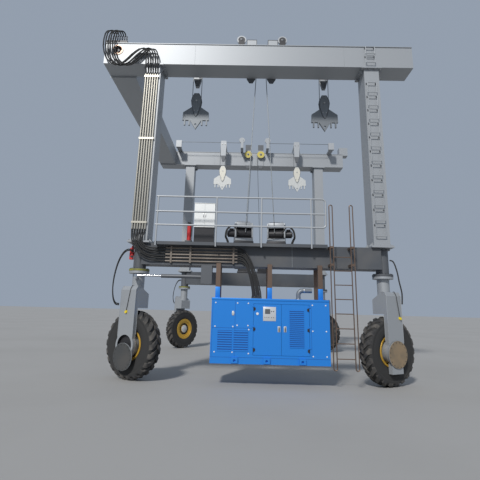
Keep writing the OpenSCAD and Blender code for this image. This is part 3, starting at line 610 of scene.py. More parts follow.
@dataclass(frozen=True)
class Studio:
    """Camera, lights and floor.

    Args:
        camera_at: place of the camera.
        yaw: turn to the right, radians.
        pitch: tilt upwards, radians.
        roll: turn of the picture, radians.
        centre_px: where the camera's axis meets the picture, pixels from its upper left.
    """

    camera_at: Point = (-0.3939, -13.9065 + PLACE_Y, 1.6930)
    yaw: float = -0.0145
    pitch: float = 0.2414
    roll: float = 0.0249
    centre_px: tuple[float, float] = (239.5, 213.0)

    def camera(self) -> None:
        """Makes the camera that sees the object as the photograph does."""
        cam = bpy.data.cameras.new("camera")
        cam.sensor_width = SENSOR_MM
        cam.lens = SENSOR_MM * FOCAL_PX / IMAGE_PX
        cam.shift_x = (IMAGE_PX / 2 - self.centre_px[0]) / IMAGE_PX
        cam.shift_y = (self.centre_px[1] - IMAGE_PX / 2) / IMAGE_PX
        cam.clip_end = 500
        sy, cy = math.sin(self.yaw), math.cos(self.yaw)
        way = Vector((sy * math.cos(self.pitch), cy * math.cos(self.pitch), math.sin(self.pitch)))
        right = Vector((cy, -sy, 0))
        up = right.cross(way)
        r = right * math.cos(self.roll) + up * math.sin(self.roll)
        u = -right * math.sin(self.roll) + up * math.cos(self.roll)
        obj = bpy.data.objects.new("camera", cam)
        turn = Matrix((r, u, -way)).transposed().to_4x4()
        obj.matrix_world = Matrix.Translation(self.camera_at) @ turn
        bpy.context.scene.collection.objects.link(obj)
        bpy.context.scene.camera = obj

    def light(self) -> None:
        """Makes the sun, the fill light and the pale surroundings."""
        scene = bpy.context.scene
        world = bpy.data.worlds.new("studio")
        world.use_nodes = True
        back = world.node_tree.nodes["Background"]
        back.inputs["Color"].default_value = SKY_COLOR
        back.inputs["Strength"].default_value = SKY_STRENGTH
        scene.world = world
        for sun in SUNS:
            lamp = bpy.data.lights.new(sun.name, "SUN")
            lamp.energy = sun.power
            lamp.angle = math.radians(sun.angle)
            lamp.color = SUN_COLOR
            obj = bpy.data.objects.new(sun.name, lamp)
            obj.rotation_euler = [math.radians(a) for a in sun.turn]
            scene.collection.objects.link(obj)
        scene.view_settings.view_transform = "Standard"

    def floor(self) -> None:
        """Makes the plain floor."""
        shape = Shape().box((-150, -60, -0.1), (150, 240, 0))
        obj = bpy.data.objects.new("floor", shape.mesh("floor", FLOOR))
        bpy.context.scene.collection.objects.link(obj)


# Hoses

HOSE_STEPS = 36
SWAY = 0.4
SWAY_TURN = 2.4


def spline(points: Sequence[Vec], steps: int) -> list[Vector]:
    """A smooth line through points.

    Args:
        points: the points.
        steps: number of steps between two of them.

    Returns:
        The line's points.
    """
    path = [Vector(p) for p in points]
    ends = [2 * path[0] - path[1], *path, 2 * path[-1] - path[-2]]
    line = []
    for i in range(1, len(ends) - 2):
        a, b, c, d = ends[i - 1:i + 3]
        for k in range(steps):
            t = k / steps
            line.append(0.5 * ((2 * b) + (c - a) * t + (2 * a - 5 * b + 4 * c - d) * t * t
                               + (3 * b - a - 3 * c + d) * t ** 3))
    line.append(path[-1])
    return line


@dataclass(frozen=True)
class Hoses:
    """A bundle of free hydraulic hoses along one route.

    Args:
        name: name of the bundle.
        node: the CAD node that the bundle stands for.
        side: the side frame that the route is given in.
        route: points of the route in millimetres, in frame axes.
        start: offsets of the single hoses at the start, in metres.
        finish: offsets of the single hoses at the end, in metres.
        diameter: outer diameter of a hose.
        mirrored: whether the route is mirrored along the frame.
    """

    name: str
    node: str
    side: Side
    route: Sequence[Point]
    start: Sequence[Point]
    finish: Sequence[Point]
    diameter: float
    mirrored: bool = False

    def build(self) -> None:
        """Builds each hose as its own cord."""
        matrix = side_matrix(self.side)
        flip = -1 if self.mirrored else 1
        for i, (a, b) in enumerate(zip(self.start, self.finish)):
            spread = math.sin(SWAY_TURN * i) * SWAY * self.diameter
            line = []
            last = len(self.route) - 1
            for k, p in enumerate(self.route):
                t = k / last
                s = t * t * (3 - 2 * t)
                loose = math.sin(math.pi * t) * spread
                line.append((
                    flip * (p[0] / MM_PER_M + a[0] * (1 - s) + b[0] * s),
                    p[1] / MM_PER_M + a[1] * (1 - s) + b[1] * s - loose,
                    p[2] / MM_PER_M + a[2] * (1 - s) + b[2] * s + loose))
            points = [matrix @ v for v in spline(line, max(2, HOSE_STEPS // last))]
            name = f"{self.name}_{i}"
            curve = bpy.data.curves.new(name, "CURVE")
            curve.dimensions = "3D"
            curve.bevel_depth = self.diameter / 2
            curve.bevel_resolution = 3
            curve.use_fill_caps = True
            run = curve.splines.new("POLY")
            run.points.add(len(points) - 1)
            for q, v in zip(run.points, points):
                q.co = (*v, 1)
            run.use_smooth = True
            curve.materials.append(HOSE.material())
            obj = piece(name, curve, "frame", [self.node])


def fan(n: int, first: Point, step: Point) -> list[Point]:
    """Offsets of n hoses side by side.

    Args:
        n: number of hoses.
        first: offset of the first one.
        step: from one to the next.

    Returns:
        The offsets.
    """
    return [tuple(first[k] + i * step[k] for k in range(3)) for i in range(n)]


PIPE_FOOT = 3600
PIPE_HEAD = 8020
HOSES = (
    Hoses("hose_leg", "hose_leg_bundle", Side.NEAR, (
        (-3080, -319, PIPE_FOOT - 1), (-3080, -322, 3520), (-3078, -365, 3440), (-3072, -404, 3350),
        (-3050, -412, 3240), (-2985, -408, 3130), (-2870, -390, 3040), (-2720, -350, 2985),
        (-2560, -318, 2974), (-2351, -311, 2974)),
        fan(6, (-0.165, 0, 0), (0.066, 0, 0)), fan(6, (0, 0, -0.164), (0, 0, 0.0656)), 0.036),
    Hoses("hose_top", "hose_top_bundle", Side.NEAR, (
        (-4190, -200, 9311), (-4190, -200, 9370), (-4230, -260, 9430), (-4300, -340, 9390),
        (-4365, -400, 9250), (-4380, -405, 8850), (-4250, -405, 8450), (-3980, -405, 8240),
        (-3740, -405, 8340), (-3540, -405, 8570), (-3340, -408, 8745), (-3190, -418, 8740),
        (-3105, -430, 8560), (-3085, -432, 8330), (-3080, -412, 8200), (-3080, -345, 8100),
        (-3080, -322, 8060), (-3080, -318, PIPE_HEAD + 1)),
        fan(6, (-0.12, 0, 0), (0.066, 0, 0)), fan(6, (-0.165, 0, 0), (0.066, 0, 0)), 0.036),
    Hoses("hose_pack", "hose_pack_bundle", Side.NEAR, (
        (-559, -311, 2974), (-480, -313, 2974), (-390, -322, 2930), (-300, -328, 2820), (-225, -328, 2660),
        (-160, -320, 2480), (-105, -306, 2280), (-65, -296, 2080), (-60, -293, 1990), (-60, -293, 1941)),
        fan(7, (0, 0, -0.164), (0, 0, 0.055)), fan(7, (-0.12, 0.02, 0), (0.036, -0.004, 0)), 0.034),
    Hoses("hose_wheel_near_left", "hose_wheels", Side.NEAR, (
        (-3212, -100, 3060), (-3330, -150, 3085), (-3430, -210, 2990), (-3520, -255, 2760),
        (-3575, -280, 2450), (-3590, -285, 2150), (-3570, -250, 1900), (-3520, -190, 1760),
        (-3442, -137, 1740)),
        fan(2, (0, 0, -0.015), (0.0, 0.0, 0.03)), fan(2, (0, 0, -0.015), (0.0, 0.0, 0.03)), 0.028),
    Hoses("hose_wheel_near_right", "hose_wheels", Side.NEAR, (
        (3276, -90, 2980), (3360, -120, 2930), (3420, -150, 2700), (3450, -165, 2450), (3500, -150, 2200),
        (3505, -140, 2050), (3495, -134, 1900)),
        fan(1, (0, 0, 0), (0, 0, 0)), fan(1, (0, 0, 0), (0, 0, 0)), 0.034),
    Hoses("hose_wheel_far_left", "hose_wheels", Side.FAR, (
        (-3216, 60, 2900), (-3330, 60, 2860), (-3430, 50, 2700), (-3500, 40, 2450), (-3530, 30, 2200),
        (-3510, 20, 2000), (-3458, 5, 1880)),
        fan(2, (0, 0, -0.015), (0.0, 0.0, 0.03)), fan(2, (0, 0, 0.015), (0, 0, -0.03)), 0.028),
) + tuple(
    Hoses(f"hose_winch_{name}", "hose_winches", Side.NEAR, (
        (560, -268, 3600), (650, -272, 3720), (750, -272, 3740), (850, -265, 3640), (880, -255, 3480),
        (850, -246, 3400), (825, -242, 3330), (825, -242, 3274)),
        fan(2, (0, 0, 0), (-0.012, 0, -0.02)), fan(2, (0, 0, 0), (-0.03, 0.005, 0)), 0.03, flip)
    for name, flip in (("left", True), ("right", False)))

# Wheels


@dataclass(frozen=True)
class ArmLook:
    """What differs from one wheel's arm to another's.

    Args:
        cover: finish of the motor cover.
        drop: how far the motor cover's middle lies under the axle.
        sensor_x: place of the sensor across the arm.
        recess: whether the recess round the axle shows, lined black as painted shadow, in place of the drum's
            seam.
    """

    cover: Finish = COVER
    drop: float = 0.055
    sensor_x: float = 0.12
    recess: bool = False


ARM_LOOKS = {"near_left": ArmLook(COVER, 0.26, -0.02, True), "near_right": ArmLook(TAN, 0.055, 0.17)}
SENSOR_WIRE = (
    (0, -0.305, 1.58), (0.03, -0.302, 1.75), (0.07, -0.300, 2.0), (0.08, -0.288, 2.11), (0.07, -0.232, 2.192),
    (0.04, -0.17, 2.188))
WELD_R = 0.006
SEAM_R = 0.004


@dataclass(frozen=True)
class Wheel:
    """One wheel: tyre with its tread, and what is on its rim and arm.

    Args:
        corner: the corner that it stands at.
        radius: outer radius of the tyre.
        width: width of the tyre.
        bead: radius of the tyre's bead.
        lugs: number of lugs on each half of the tread.
        lug_h: height of the lugs.
        nuts: number of wheel nuts.
        nut_at: distance of the nuts from the axle.
        hub_out: outer face of the motor cover from the wheel's middle.
        cover_r: radius of the motor cover.
        cover_bolts: number of bolts on the motor cover.
    """

    corner: Corner
    radius: float = 0.80
    width: float = 0.36
    bead: float = 0.351
    lugs: int = 22
    lug_h: float = 0.038
    nuts: int = 12
    nut_at: float = 0.20
    hub_out: float = 0.32
    cover_r: float = 0.31
    cover_bolts: int = 16

    @property
    def axle(self) -> Point:
        """Middle of the wheel in its own axes."""
        return (0, 0, self.radius)

    def _carcass(self, shape: Shape) -> Shape:
        """Adds the tyre's body."""
        r, w = self.radius - self.lug_h, self.width / 2
        wall = [
            (0.50, w - 0.004), (0.56, w), (0.63, w), (0.645, w - 0.004), (0.65, w), (0.70, w - 0.006),
            (0.735, w - 0.022), (r - 0.012, w - 0.052), (r - 0.003, w - 0.09), (r, w - 0.135)]
        outer = [(self.bead, 0.088), (0.377, 0.109), (0.390, 0.124), (0.415, 0.145), (0.445, 0.163)] + wall
        inner = [(self.bead, 0.123), (0.422, 0.144), (0.433, 0.160), (0.450, 0.168)] + wall
        return shape.lathe([(a, -b) for a, b in outer] + list(reversed(inner)), self.axle, 96)

    def _lug(self, half: int) -> Shape:
        """A lug of one half of the tread, round the wheel's axis, at its top.

        Args:
            half: -1 for the half towards the arm's cover, 1 for the other one.

        Returns:
            The lug: four points for each step outwards from the tread's middle.
        """
        shape = Shape()
        r = self.radius
        tread_steps = 4
        section = [
            (0.010, r, 0.00), (0.05, r, 0.03), (0.095, r - 0.002, 0.075), (0.130, r - 0.010, 0.11),
            (0.155, r - 0.030, 0.128), (0.170, r - 0.065, 0.138), (0.174, r - 0.10, 0.142)]
        rows = []
        for k, (w, top, skew) in enumerate(section):
            wide = 0.10 + 0.035 * k / len(section)
            low = top - self.lug_h - 0.02 if k < tread_steps else top - 0.004
            inner = w if k < tread_steps else w - 0.03
            row = []
            for edge in (-0.5, 0.5):
                a = skew / r + edge * wide / r
                b = skew / r + edge * wide * 1.25 / r
                row.append((math.sin(a) * top, half * w, math.cos(a) * top))
                row.append((math.sin(b) * low, half * inner, math.cos(b) * low))
            rows.append([shape.bm.verts.new(row[i]) for i in (0, 2, 3, 1)])
        for one, two in zip(rows, rows[1:]):
            shape.band(one, two)
        shape.bm.faces.new(rows[0])
        shape.bm.faces.new(list(reversed(rows[-1])))
        return shape

    def build(self) -> None:
        """Builds the tyre and dresses rim and arm."""
        key, matrix = self.corner.key, self.corner.matrix()
        tyre = Group(f"tyre_{key}_", matrix, f"wheel_{key}", "tyre_rubber")
        replaced = [f"tyre_{key}"]
        tyre.add("carcass", self._carcass(tyre.shape()), RUBBER, smooth=50, replaced=replaced)
        for name, half, shift in (("lugs_out", -1, 0.0), ("lugs_in", 1, 0.5)):
            tyre.repeat(name, self._lug(half), around(self.axle, self.lugs, shift), TREAD, replaced)
        self._rim(Group(f"rim_{key}_", matrix, f"wheel_{key}", "yellow_paint"))
        self._arm(Group(f"arm_{key}_", matrix, f"yoke_{key}", "grey_paint"))

    def _rim(self, rim: Group) -> None:
        """Adds the lock rings, the black lining of the well as painted shade, the hub's cap and the nuts."""
        ring = rim.shape()
        for r, y in ((0.36, -0.121), (0.40, 0.156)):
            ring.lathe(oval(r, y, 0.014, 0.009, 8), self.axle, 72)
        rim.add("lock_ring", ring, YELLOW)
        # Painted shade: a black floor and sleeve line the rim's well, for the shade inside it.
        well = [(0.165, 0.052), (0.236, 0.052), (0.236, 0.122), (0.239, 0.122), (0.239, 0.050),
                (0.165, 0.050)]
        rim.add("well", rim.shape().lathe(well, self.axle), BLACK)
        cap = rim.shape().rod((0, 0.13, self.radius), (0, 0.138, self.radius), 0.155, 40)
        cap.rod((0, 0.138, self.radius), (0, 0.15, self.radius), 0.10, 32)
        rim.add("hub_cap", cap, LIGHT_GREY, 0.003)
        nut = Shape().rod((0, 0.052, self.nut_at), (0, 0.085, self.nut_at), 0.014, 6)
        nut.rod((0, 0.085, self.nut_at), (0, 0.10, self.nut_at), 0.008, 8)
        rim.repeat("nuts", nut, around(self.axle, self.nuts), STEEL)

    def _arm(self, arm: Group) -> None:
        """Adds the motor cover with its bolts, the weld seams and the sensor with its wire."""
        look = ARM_LOOKS.get(self.corner.key, ArmLook())
        z = self.radius - look.drop
        cover = arm.shape().ring(0.0005, self.cover_r - 0.004, -0.004, 0.001, (0, -self.hub_out, z))
        arm.add("cover", cover, look.cover)
        bolt_at = self.cover_r - 0.035
        head = Shape().rod((0, 0, bolt_at), (0, -0.012, bolt_at), 0.009, 6)
        places = around((0, -self.hub_out - 0.003, z), self.cover_bolts, 0.5)
        arm.repeat("cover_bolts", head, places, COVER)
        if look.recess:
            # Painted shadow: a black disc and sleeve inside the drum stand in for the shade behind the
            # lowered motor cover.
            dark = arm.shape().rod((0, -0.2225, self.radius), (0, -0.2195, self.radius), 0.233, 48)
            arm.add("recess", dark.ring(0.232, 0.2345, -0.289, -0.221, self.axle, 48), BLACK)
        else:
            bead = arm.shape().lathe(oval(0.305, 0, 0.008, 0.008, 6), (0, -0.302, z), 56)
            arm.add("drum_seam", bead, DARK_GREY)
        seams = arm.shape()
        for x in (-0.2505, 0.2505):
            front = [(x, -0.291, 1.0), (x, -0.291, 2.09), (x, -0.231, 2.181), (x, -0.152, 2.181)]
            seams.tube(front, WELD_R, 6)
            seams.tube([(x, -0.189, 1.05), (x, -0.189, 1.66), (x, 0.145, 1.66)], WELD_R, 6)
        arm.add("seams", seams, GREY)
        x = look.sensor_x
        sensor = arm.shape().rod((x, -0.292, 1.56), (x, -0.325, 1.56), 0.030, 20)
        arm.add("sensor", sensor.box((x - 0.035, -0.302, 1.545), (x + 0.035, -0.290, 1.60)), SENSOR)
        lean = -1 if x > 0 else 1
        route = [(x + lean * across, y, z) for across, y, z in SENSOR_WIRE]
        arm.add("sensor_wire", arm.shape().tube(spline(route, 5), 0.007, 8), HOSE)


# Side frames


@dataclass(frozen=True)
class Structure:
    """Bolts, seams and small parts of girders, legs and corners, and the painted shadows of the leg's steps.

    Args:
        plate_t: thickness of the legs' end plates.
        leg: half width and half depth of a leg.
        plate_out: reach of the end plates past the leg.
        bolt_in: distance of the end plates' bolts from their edge.
    """

    plate_t: float = 0.04
    leg: tuple[float, float] = (0.205, LEG_FACE)
    plate_out: float = 0.075
    bolt_in: float = 0.035

    def build(self) -> None:
        """Builds everything of this class."""
        for side in Side:
            for end in End:
                self._leg(side, end)
        self._cross_joints()
        self._girder_seams()
        self._port()
        self._step_pads()

    def _leg(self, side: Side, end: End) -> None:
        """Adds a leg's bolts and weld seams, and the band and bolts of its slewing ring."""
        key = f"{side.key}_{end.key}"
        place = side_matrix(side) @ Matrix.Translation((end.value * LEG_X, 0, 0))
        leg = Group(f"leg_{key}_", place, "frame", "grey_paint")
        px, py = (half + self.plate_out - self.bolt_in for half in self.leg)
        spots = [(-px + 2 * px * k / 3, y) for k in range(4) for y in (-py, py)]
        spots += [(x, -py + 2 * py * k / 4) for k in range(1, 4) for x in (-px, px)]
        low, top = BEAM_TOP + self.plate_t, GIRDER_LOW - self.plate_t
        places = unturned((x, y, low) for x, y in spots)
        places += [((x, y, top), (math.pi, 0, 0)) for x, y in spots]
        leg.repeat("bolts", bolt(0.016, 0.022), places, STEEL)
        seam = leg.shape()
        x, y = self.leg
        for z in (low, top):
            seam.tube([(-x, -y, z), (x, -y, z), (x, y, z), (-x, y, z), (-x, -y, z)], WELD_R, 6)
        leg.add("seams", seam, GREY)
        place = side_matrix(side) @ Matrix.Translation((pin_x(end), 0, 0))
        corner = Group(f"corner_{key}_", place, "frame", "dark_grey_paint")
        band = corner.shape()
        for z in (2.568, 2.584, 2.600):
            band.rod((0, 0, z), (0, 0, z + 0.010), 0.2535, 56)
        corner.add("band", band, BAND if end is End.LEFT else DARK_GREY)
        n, r = 20, 0.222
        turns = [2 * math.pi * i / n for i in range(n)]
        spots = [(r * math.cos(a), r * math.sin(a), 2.62) for a in turns]
        corner.repeat("bolts", bolt(0.011, 0.016), unturned(spots), BLACK)

    def _cross_joints(self) -> None:
        """Adds the bolts of the cross girder's end flanges, under the girder and beside it."""
        outer, inner, y = -4.48, -3.75, 0.35
        turn = (-math.pi / 2, 0, 0)
        places = [((outer + 0.05 + k * 0.115, y, 8.318), turn) for k in range(6)]
        places += [((inner + 0.024, y, 8.40 + k * 0.11), turn) for k in range(5)]
        for side in Side:
            joint = Group("cross_joint_bolts_", side_matrix(side), "frame", "grey_paint")
            joint.repeat(side.key, bolt(0.014, 0.02), places, STEEL)

    def _girder_seams(self) -> None:
        """Adds the butt welds across the girders and the lower beams."""
        for side in Side:
            girder = Group("girder_seams_", side_matrix(side), "frame", "grey_paint")
            seam = girder.shape()
            for x in (-1.9, 2.3):
                for y in (-GIRDER_FACE - 0.0005, GIRDER_FACE + 0.0005):
                    seam.tube([(x, y, GIRDER_LOW + 0.005), (x, y, GIRDER_TOP - 0.02)], SEAM_R, 6)
            y = -BEAM_FACE - 0.0005
            for x in (-2.4, 0.8):
                seam.tube([(x, y, BEAM_LOW + 0.005), (x, y, BEAM_TOP - 0.005)], SEAM_R, 6)
            girder.add(side.key, seam, GREY)

    def _port(self) -> None:
        """Adds rim, inside and boss of the round opening in the near girder's closed end."""
        x, z = -4.11, 8.78
        port = Group("girder_port_", side_matrix(Side.NEAR), "frame", "grey_paint")
        port.add("rim", port.shape().ring(0.120, 0.158, -0.014, 0.0, (x, -GIRDER_FACE, z), 40), RUST)
        inside = port.shape().rod((x, -0.2325, z), (x, -0.229, z), 0.134, 40)
        port.add("inside", inside.ring(0.075, 0.090, -0.012, 0.012, (x, -0.24, z), 32), RUST)
        port.add("boss", port.shape().rod((x, -0.233, z), (x, -0.30, z), 0.045, 24), BLACK)

    def _step_pads(self) -> None:
        """Adds painted shadows: dark patches where the steps meet leg and girder, for the shadows that the
        steps' ends cast there.
        """
        steps, pitch, half = 11, 0.40, 0.125
        first = BEAM_TOP + self.plate_t + 0.538
        rows = [(-LEG_FACE, first + i * pitch) for i in range(steps)]
        rows += [(-GIRDER_FACE, 8.668), (-GIRDER_FACE, 8.948)]
        spots = [(x, y, z) for y, z in rows for x in (-half, half)]
        place = side_matrix(Side.NEAR) @ Matrix.Translation((LEG_X - 0.03, 0, 0))
        # Painted shadow: a dark patch at each end of each step stands in for the shadow that the step casts.
        shade_patch = Shape().box((-0.022, -0.006, -0.03), (0.022, 0.0, 0.03))
        Group("leg_", place, "frame", "grey_paint").repeat("step_pads", shade_patch, unturned(spots), DARK_GREY)


# Power pack

DOOR_LOW = 0.69
DOOR_H = 1.13
HINGE_SHARES = (0.1, 0.5, 0.9)


@dataclass(frozen=True)
class PowerPack:
    """Louvres, bolts, handles and plates of the power pack. x is the real place along the frame.

    Args:
        front: y of the housing's front face, in frame axes.
        left: left end of the housing.
        right: right end of the housing.
        low: bottom of the housing.
        top: top of the housing.
    """

    front: float = -0.61
    left: float = -1.125
    right: float = 1.615
    low: float = 0.63
    top: float = 1.94

    def build(self) -> None:
        """Builds everything of this class."""
        pack = self._group("pack_", "frame")
        self._louvres(pack, self._group("pack_", "pack_door_right"))
        self._screws(pack)
        self._panels(pack)
        self._doors()
        self._sleeves(pack)
        self._exhaust()

    @staticmethod
    def _group(start: str, body: str, slot: str = "blue_paint") -> Group:
        """A group of pieces in the near side's frame axes."""
        return Group(start, side_matrix(Side.NEAR), body, slot)

    def _louvres(self, panel: Group, door: Group) -> None:
        """Adds the louvres of the left panel and of the right door, each over a dark ground."""
        half, y = 0.17, self.front
        left, right = ([(-half, 0), (half, 0), (half, h), (-half, h)] for h in (0.028, 0.022))
        columns = (-0.80, -0.43)
        spots = [(x, y, 0.76 + k * 0.052) for x in columns for k in range(9)]
        panel.repeat("louvres_left", Shape().plate(left, -0.010, 0.0), unturned(spots), BLUE)
        dark = panel.shape()
        for x in columns:
            dark.box((x - 0.165, y - 0.003, 0.765), (x + 0.165, y - 0.0005, 1.215))
        panel.add("louvre_shadow_left", dark, BLUE_DARK)
        spots = [(0.855, y + 0.004, 0.86 + k * 0.043) for k in range(20)]
        door.repeat("louvres_right", Shape().plate(right, -0.010, 0.0), unturned(spots), BLUE)
        dark = door.shape().box((0.69, y + 0.001, 0.86), (1.02, y + 0.0035, 1.70))
        door.add("louvre_shadow_right", dark, BLUE_DARK)

    def _screws(self, pack: Group) -> None:
        """Adds the white capped screws of the fixed panels."""
        cap = Shape().rod((0, 0.0, 0), (0, -0.008, 0), 0.016, 16)
        spots = [(-1.03, 0.74), (-0.62, 0.74), (-1.03, 1.30), (-0.62, 1.30), (-0.52, 1.83), (-0.27, 1.83),
                 (-0.52, 1.33), (-0.27, 1.33), (-0.25, 1.24), (-0.25, 0.72), (-1.03, 1.83)]
        spots += [(x, z) for z in (1.82, 1.24, 0.69) for x in (1.22, 1.53)]
        pack.repeat("panel_screws", cap, unturned((x, self.front, z) for x, z in spots), WHITE)

    def _panels(self, pack: Group) -> None:
        """Adds the seams between the fixed panels, the roof lip and the latch on the left."""
        seams = pack.shape()
        y = self.front
        back = y + 0.948
        for x in (self.left + 0.03, -0.57, 1.19):
            seams.box((x - 0.003, y - 0.002, self.low + 0.02), (x + 0.003, y + 0.001, self.top - 0.06))
        split = 1.27
        seams.box((self.left + 0.03, y - 0.002, split - 0.003), (-0.17, y + 0.001, split + 0.003))
        seams.box((self.left, y - 0.002, self.low - 0.002), (self.right, y + 0.001, self.low + 0.004))
        pack.add("panel_seams", seams, BLUE_DARK)
        lip = pack.shape()
        t, low, top = 0.006, self.top - 0.045, self.top + 0.004
        for y1, y2 in ((y - 0.008, y), (y + 0.94, back)):
            lip.box((self.left - t, y1, low), (self.right + t, y2, top))
        for x in (self.left - t, self.right):
            lip.box((x, y - 0.008, low), (x + t, back, top))
        pack.add("roof_lip", lip, BLUE, 0.002)
        x, z = -0.62, 1.60
        latch = pack.shape().rod((x, y, z), (x, y - 0.012, z), 0.032, 24)
        latch.box((x - 0.025, y - 0.010, z - 0.05), (x + 0.025, y, z + 0.05))
        pack.add("left_latch", latch, LIGHT_GREY, 0.002)

    def _doors(self) -> None:
        """Adds the handles, the lock, the instrument plate and the hinges of the doors."""
        y = self.front + 0.004
        doors = {name: self._group(f"pack_door_{name}_", f"pack_door_{name}") for name in ("left", "right")}
        for name, x in (("left", 0.445), ("right", 0.585)):
            door = doors[name]
            plate = door.shape().box((x - 0.030, y - 0.006, 1.20), (x + 0.030, y, 1.33))
            door.add("handle_plate", plate, LIGHT_GREY, 0.003)
            grip = door.shape().box((x - 0.010, y - 0.024, 1.215), (x + 0.010, y - 0.006, 1.30))
            door.add("handle", grip.rod((x, y - 0.006, 1.31), (x, y - 0.014, 1.31), 0.009, 12), BLACK, 0.003)
        door = doors["left"]
        plate = door.shape().box((0.075, y - 0.008, 1.44), (0.375, y, 1.76))
        door.add("instruments", plate, PLATE_SILVER, 0.004)
        parts = door.shape().box((0.12, y - 0.011, 1.60), (0.24, y - 0.008, 1.71))
        for x in (0.27, 0.32):
            parts.rod((x, y - 0.008, 1.66), (x, y - 0.016, 1.66), 0.013, 16)
        for x in (0.12, 0.165, 0.21, 0.27, 0.32):
            parts.rod((x, y - 0.008, 1.52), (x, y - 0.015, 1.52), 0.009, 12)
        door.add("instrument_parts", parts, DARK_GREY)
        door.add("lock", door.shape().rod((-0.055, y, 1.60), (-0.055, y - 0.012, 1.60), 0.030, 24), WHITE)
        for name, x, sign in (("left", -0.133, 1), ("right", 1.133, -1)):
            leaf = doors[name].shape()
            for share in HINGE_SHARES:
                z = DOOR_LOW + share * DOOR_H
                leaf.box((x, y - 0.005, z - 0.030), (x + sign * 0.035, y, z + 0.030))
                leaf.rod((x, y - 0.008, z - 0.039), (x, y - 0.008, z + 0.039), 0.0135, 16)
            doors[name].add("hinge_leaves", leaf, BLACK)

    def _sleeves(self, pack: Group) -> None:
        """Adds the blue sockets that the rusty hangers stand in."""
        shape = pack.shape()
        for x in (-1.015, 0.245, 1.475):
            shape.box((x - 0.0565, -0.3415, self.top), (x + 0.0565, -0.279, 2.21))
            shape.box((x - 0.063, -0.349, self.top), (x + 0.063, -0.28, self.top + 0.014))
        pack.add("sockets", shape, BLUE, 0.002)

    def _exhaust(self) -> None:
        """Adds the black disc of painted shade in the exhaust pipe's mouth, and the pipe's clamps."""
        y, z = -0.15, 2.17
        exhaust = self._group("exhaust_", "frame", "bare_steel")
        # Painted shade: a thin black disc at the pipe's end stands in for the shade inside its open mouth.
        exhaust.add("mouth", exhaust.shape().rod((1.290, y, z), (1.2915, y, z), 0.047, 32), BLACK)
        clamp = exhaust.shape().rod((1.09, y, z), (1.12, y, z), 0.059, 32)
        exhaust.add("clamps", clamp.rod((0.96, y, 1.945), (0.96, y, 1.965), 0.085, 32), STEEL, 0.002)


# Deck and what stands on it


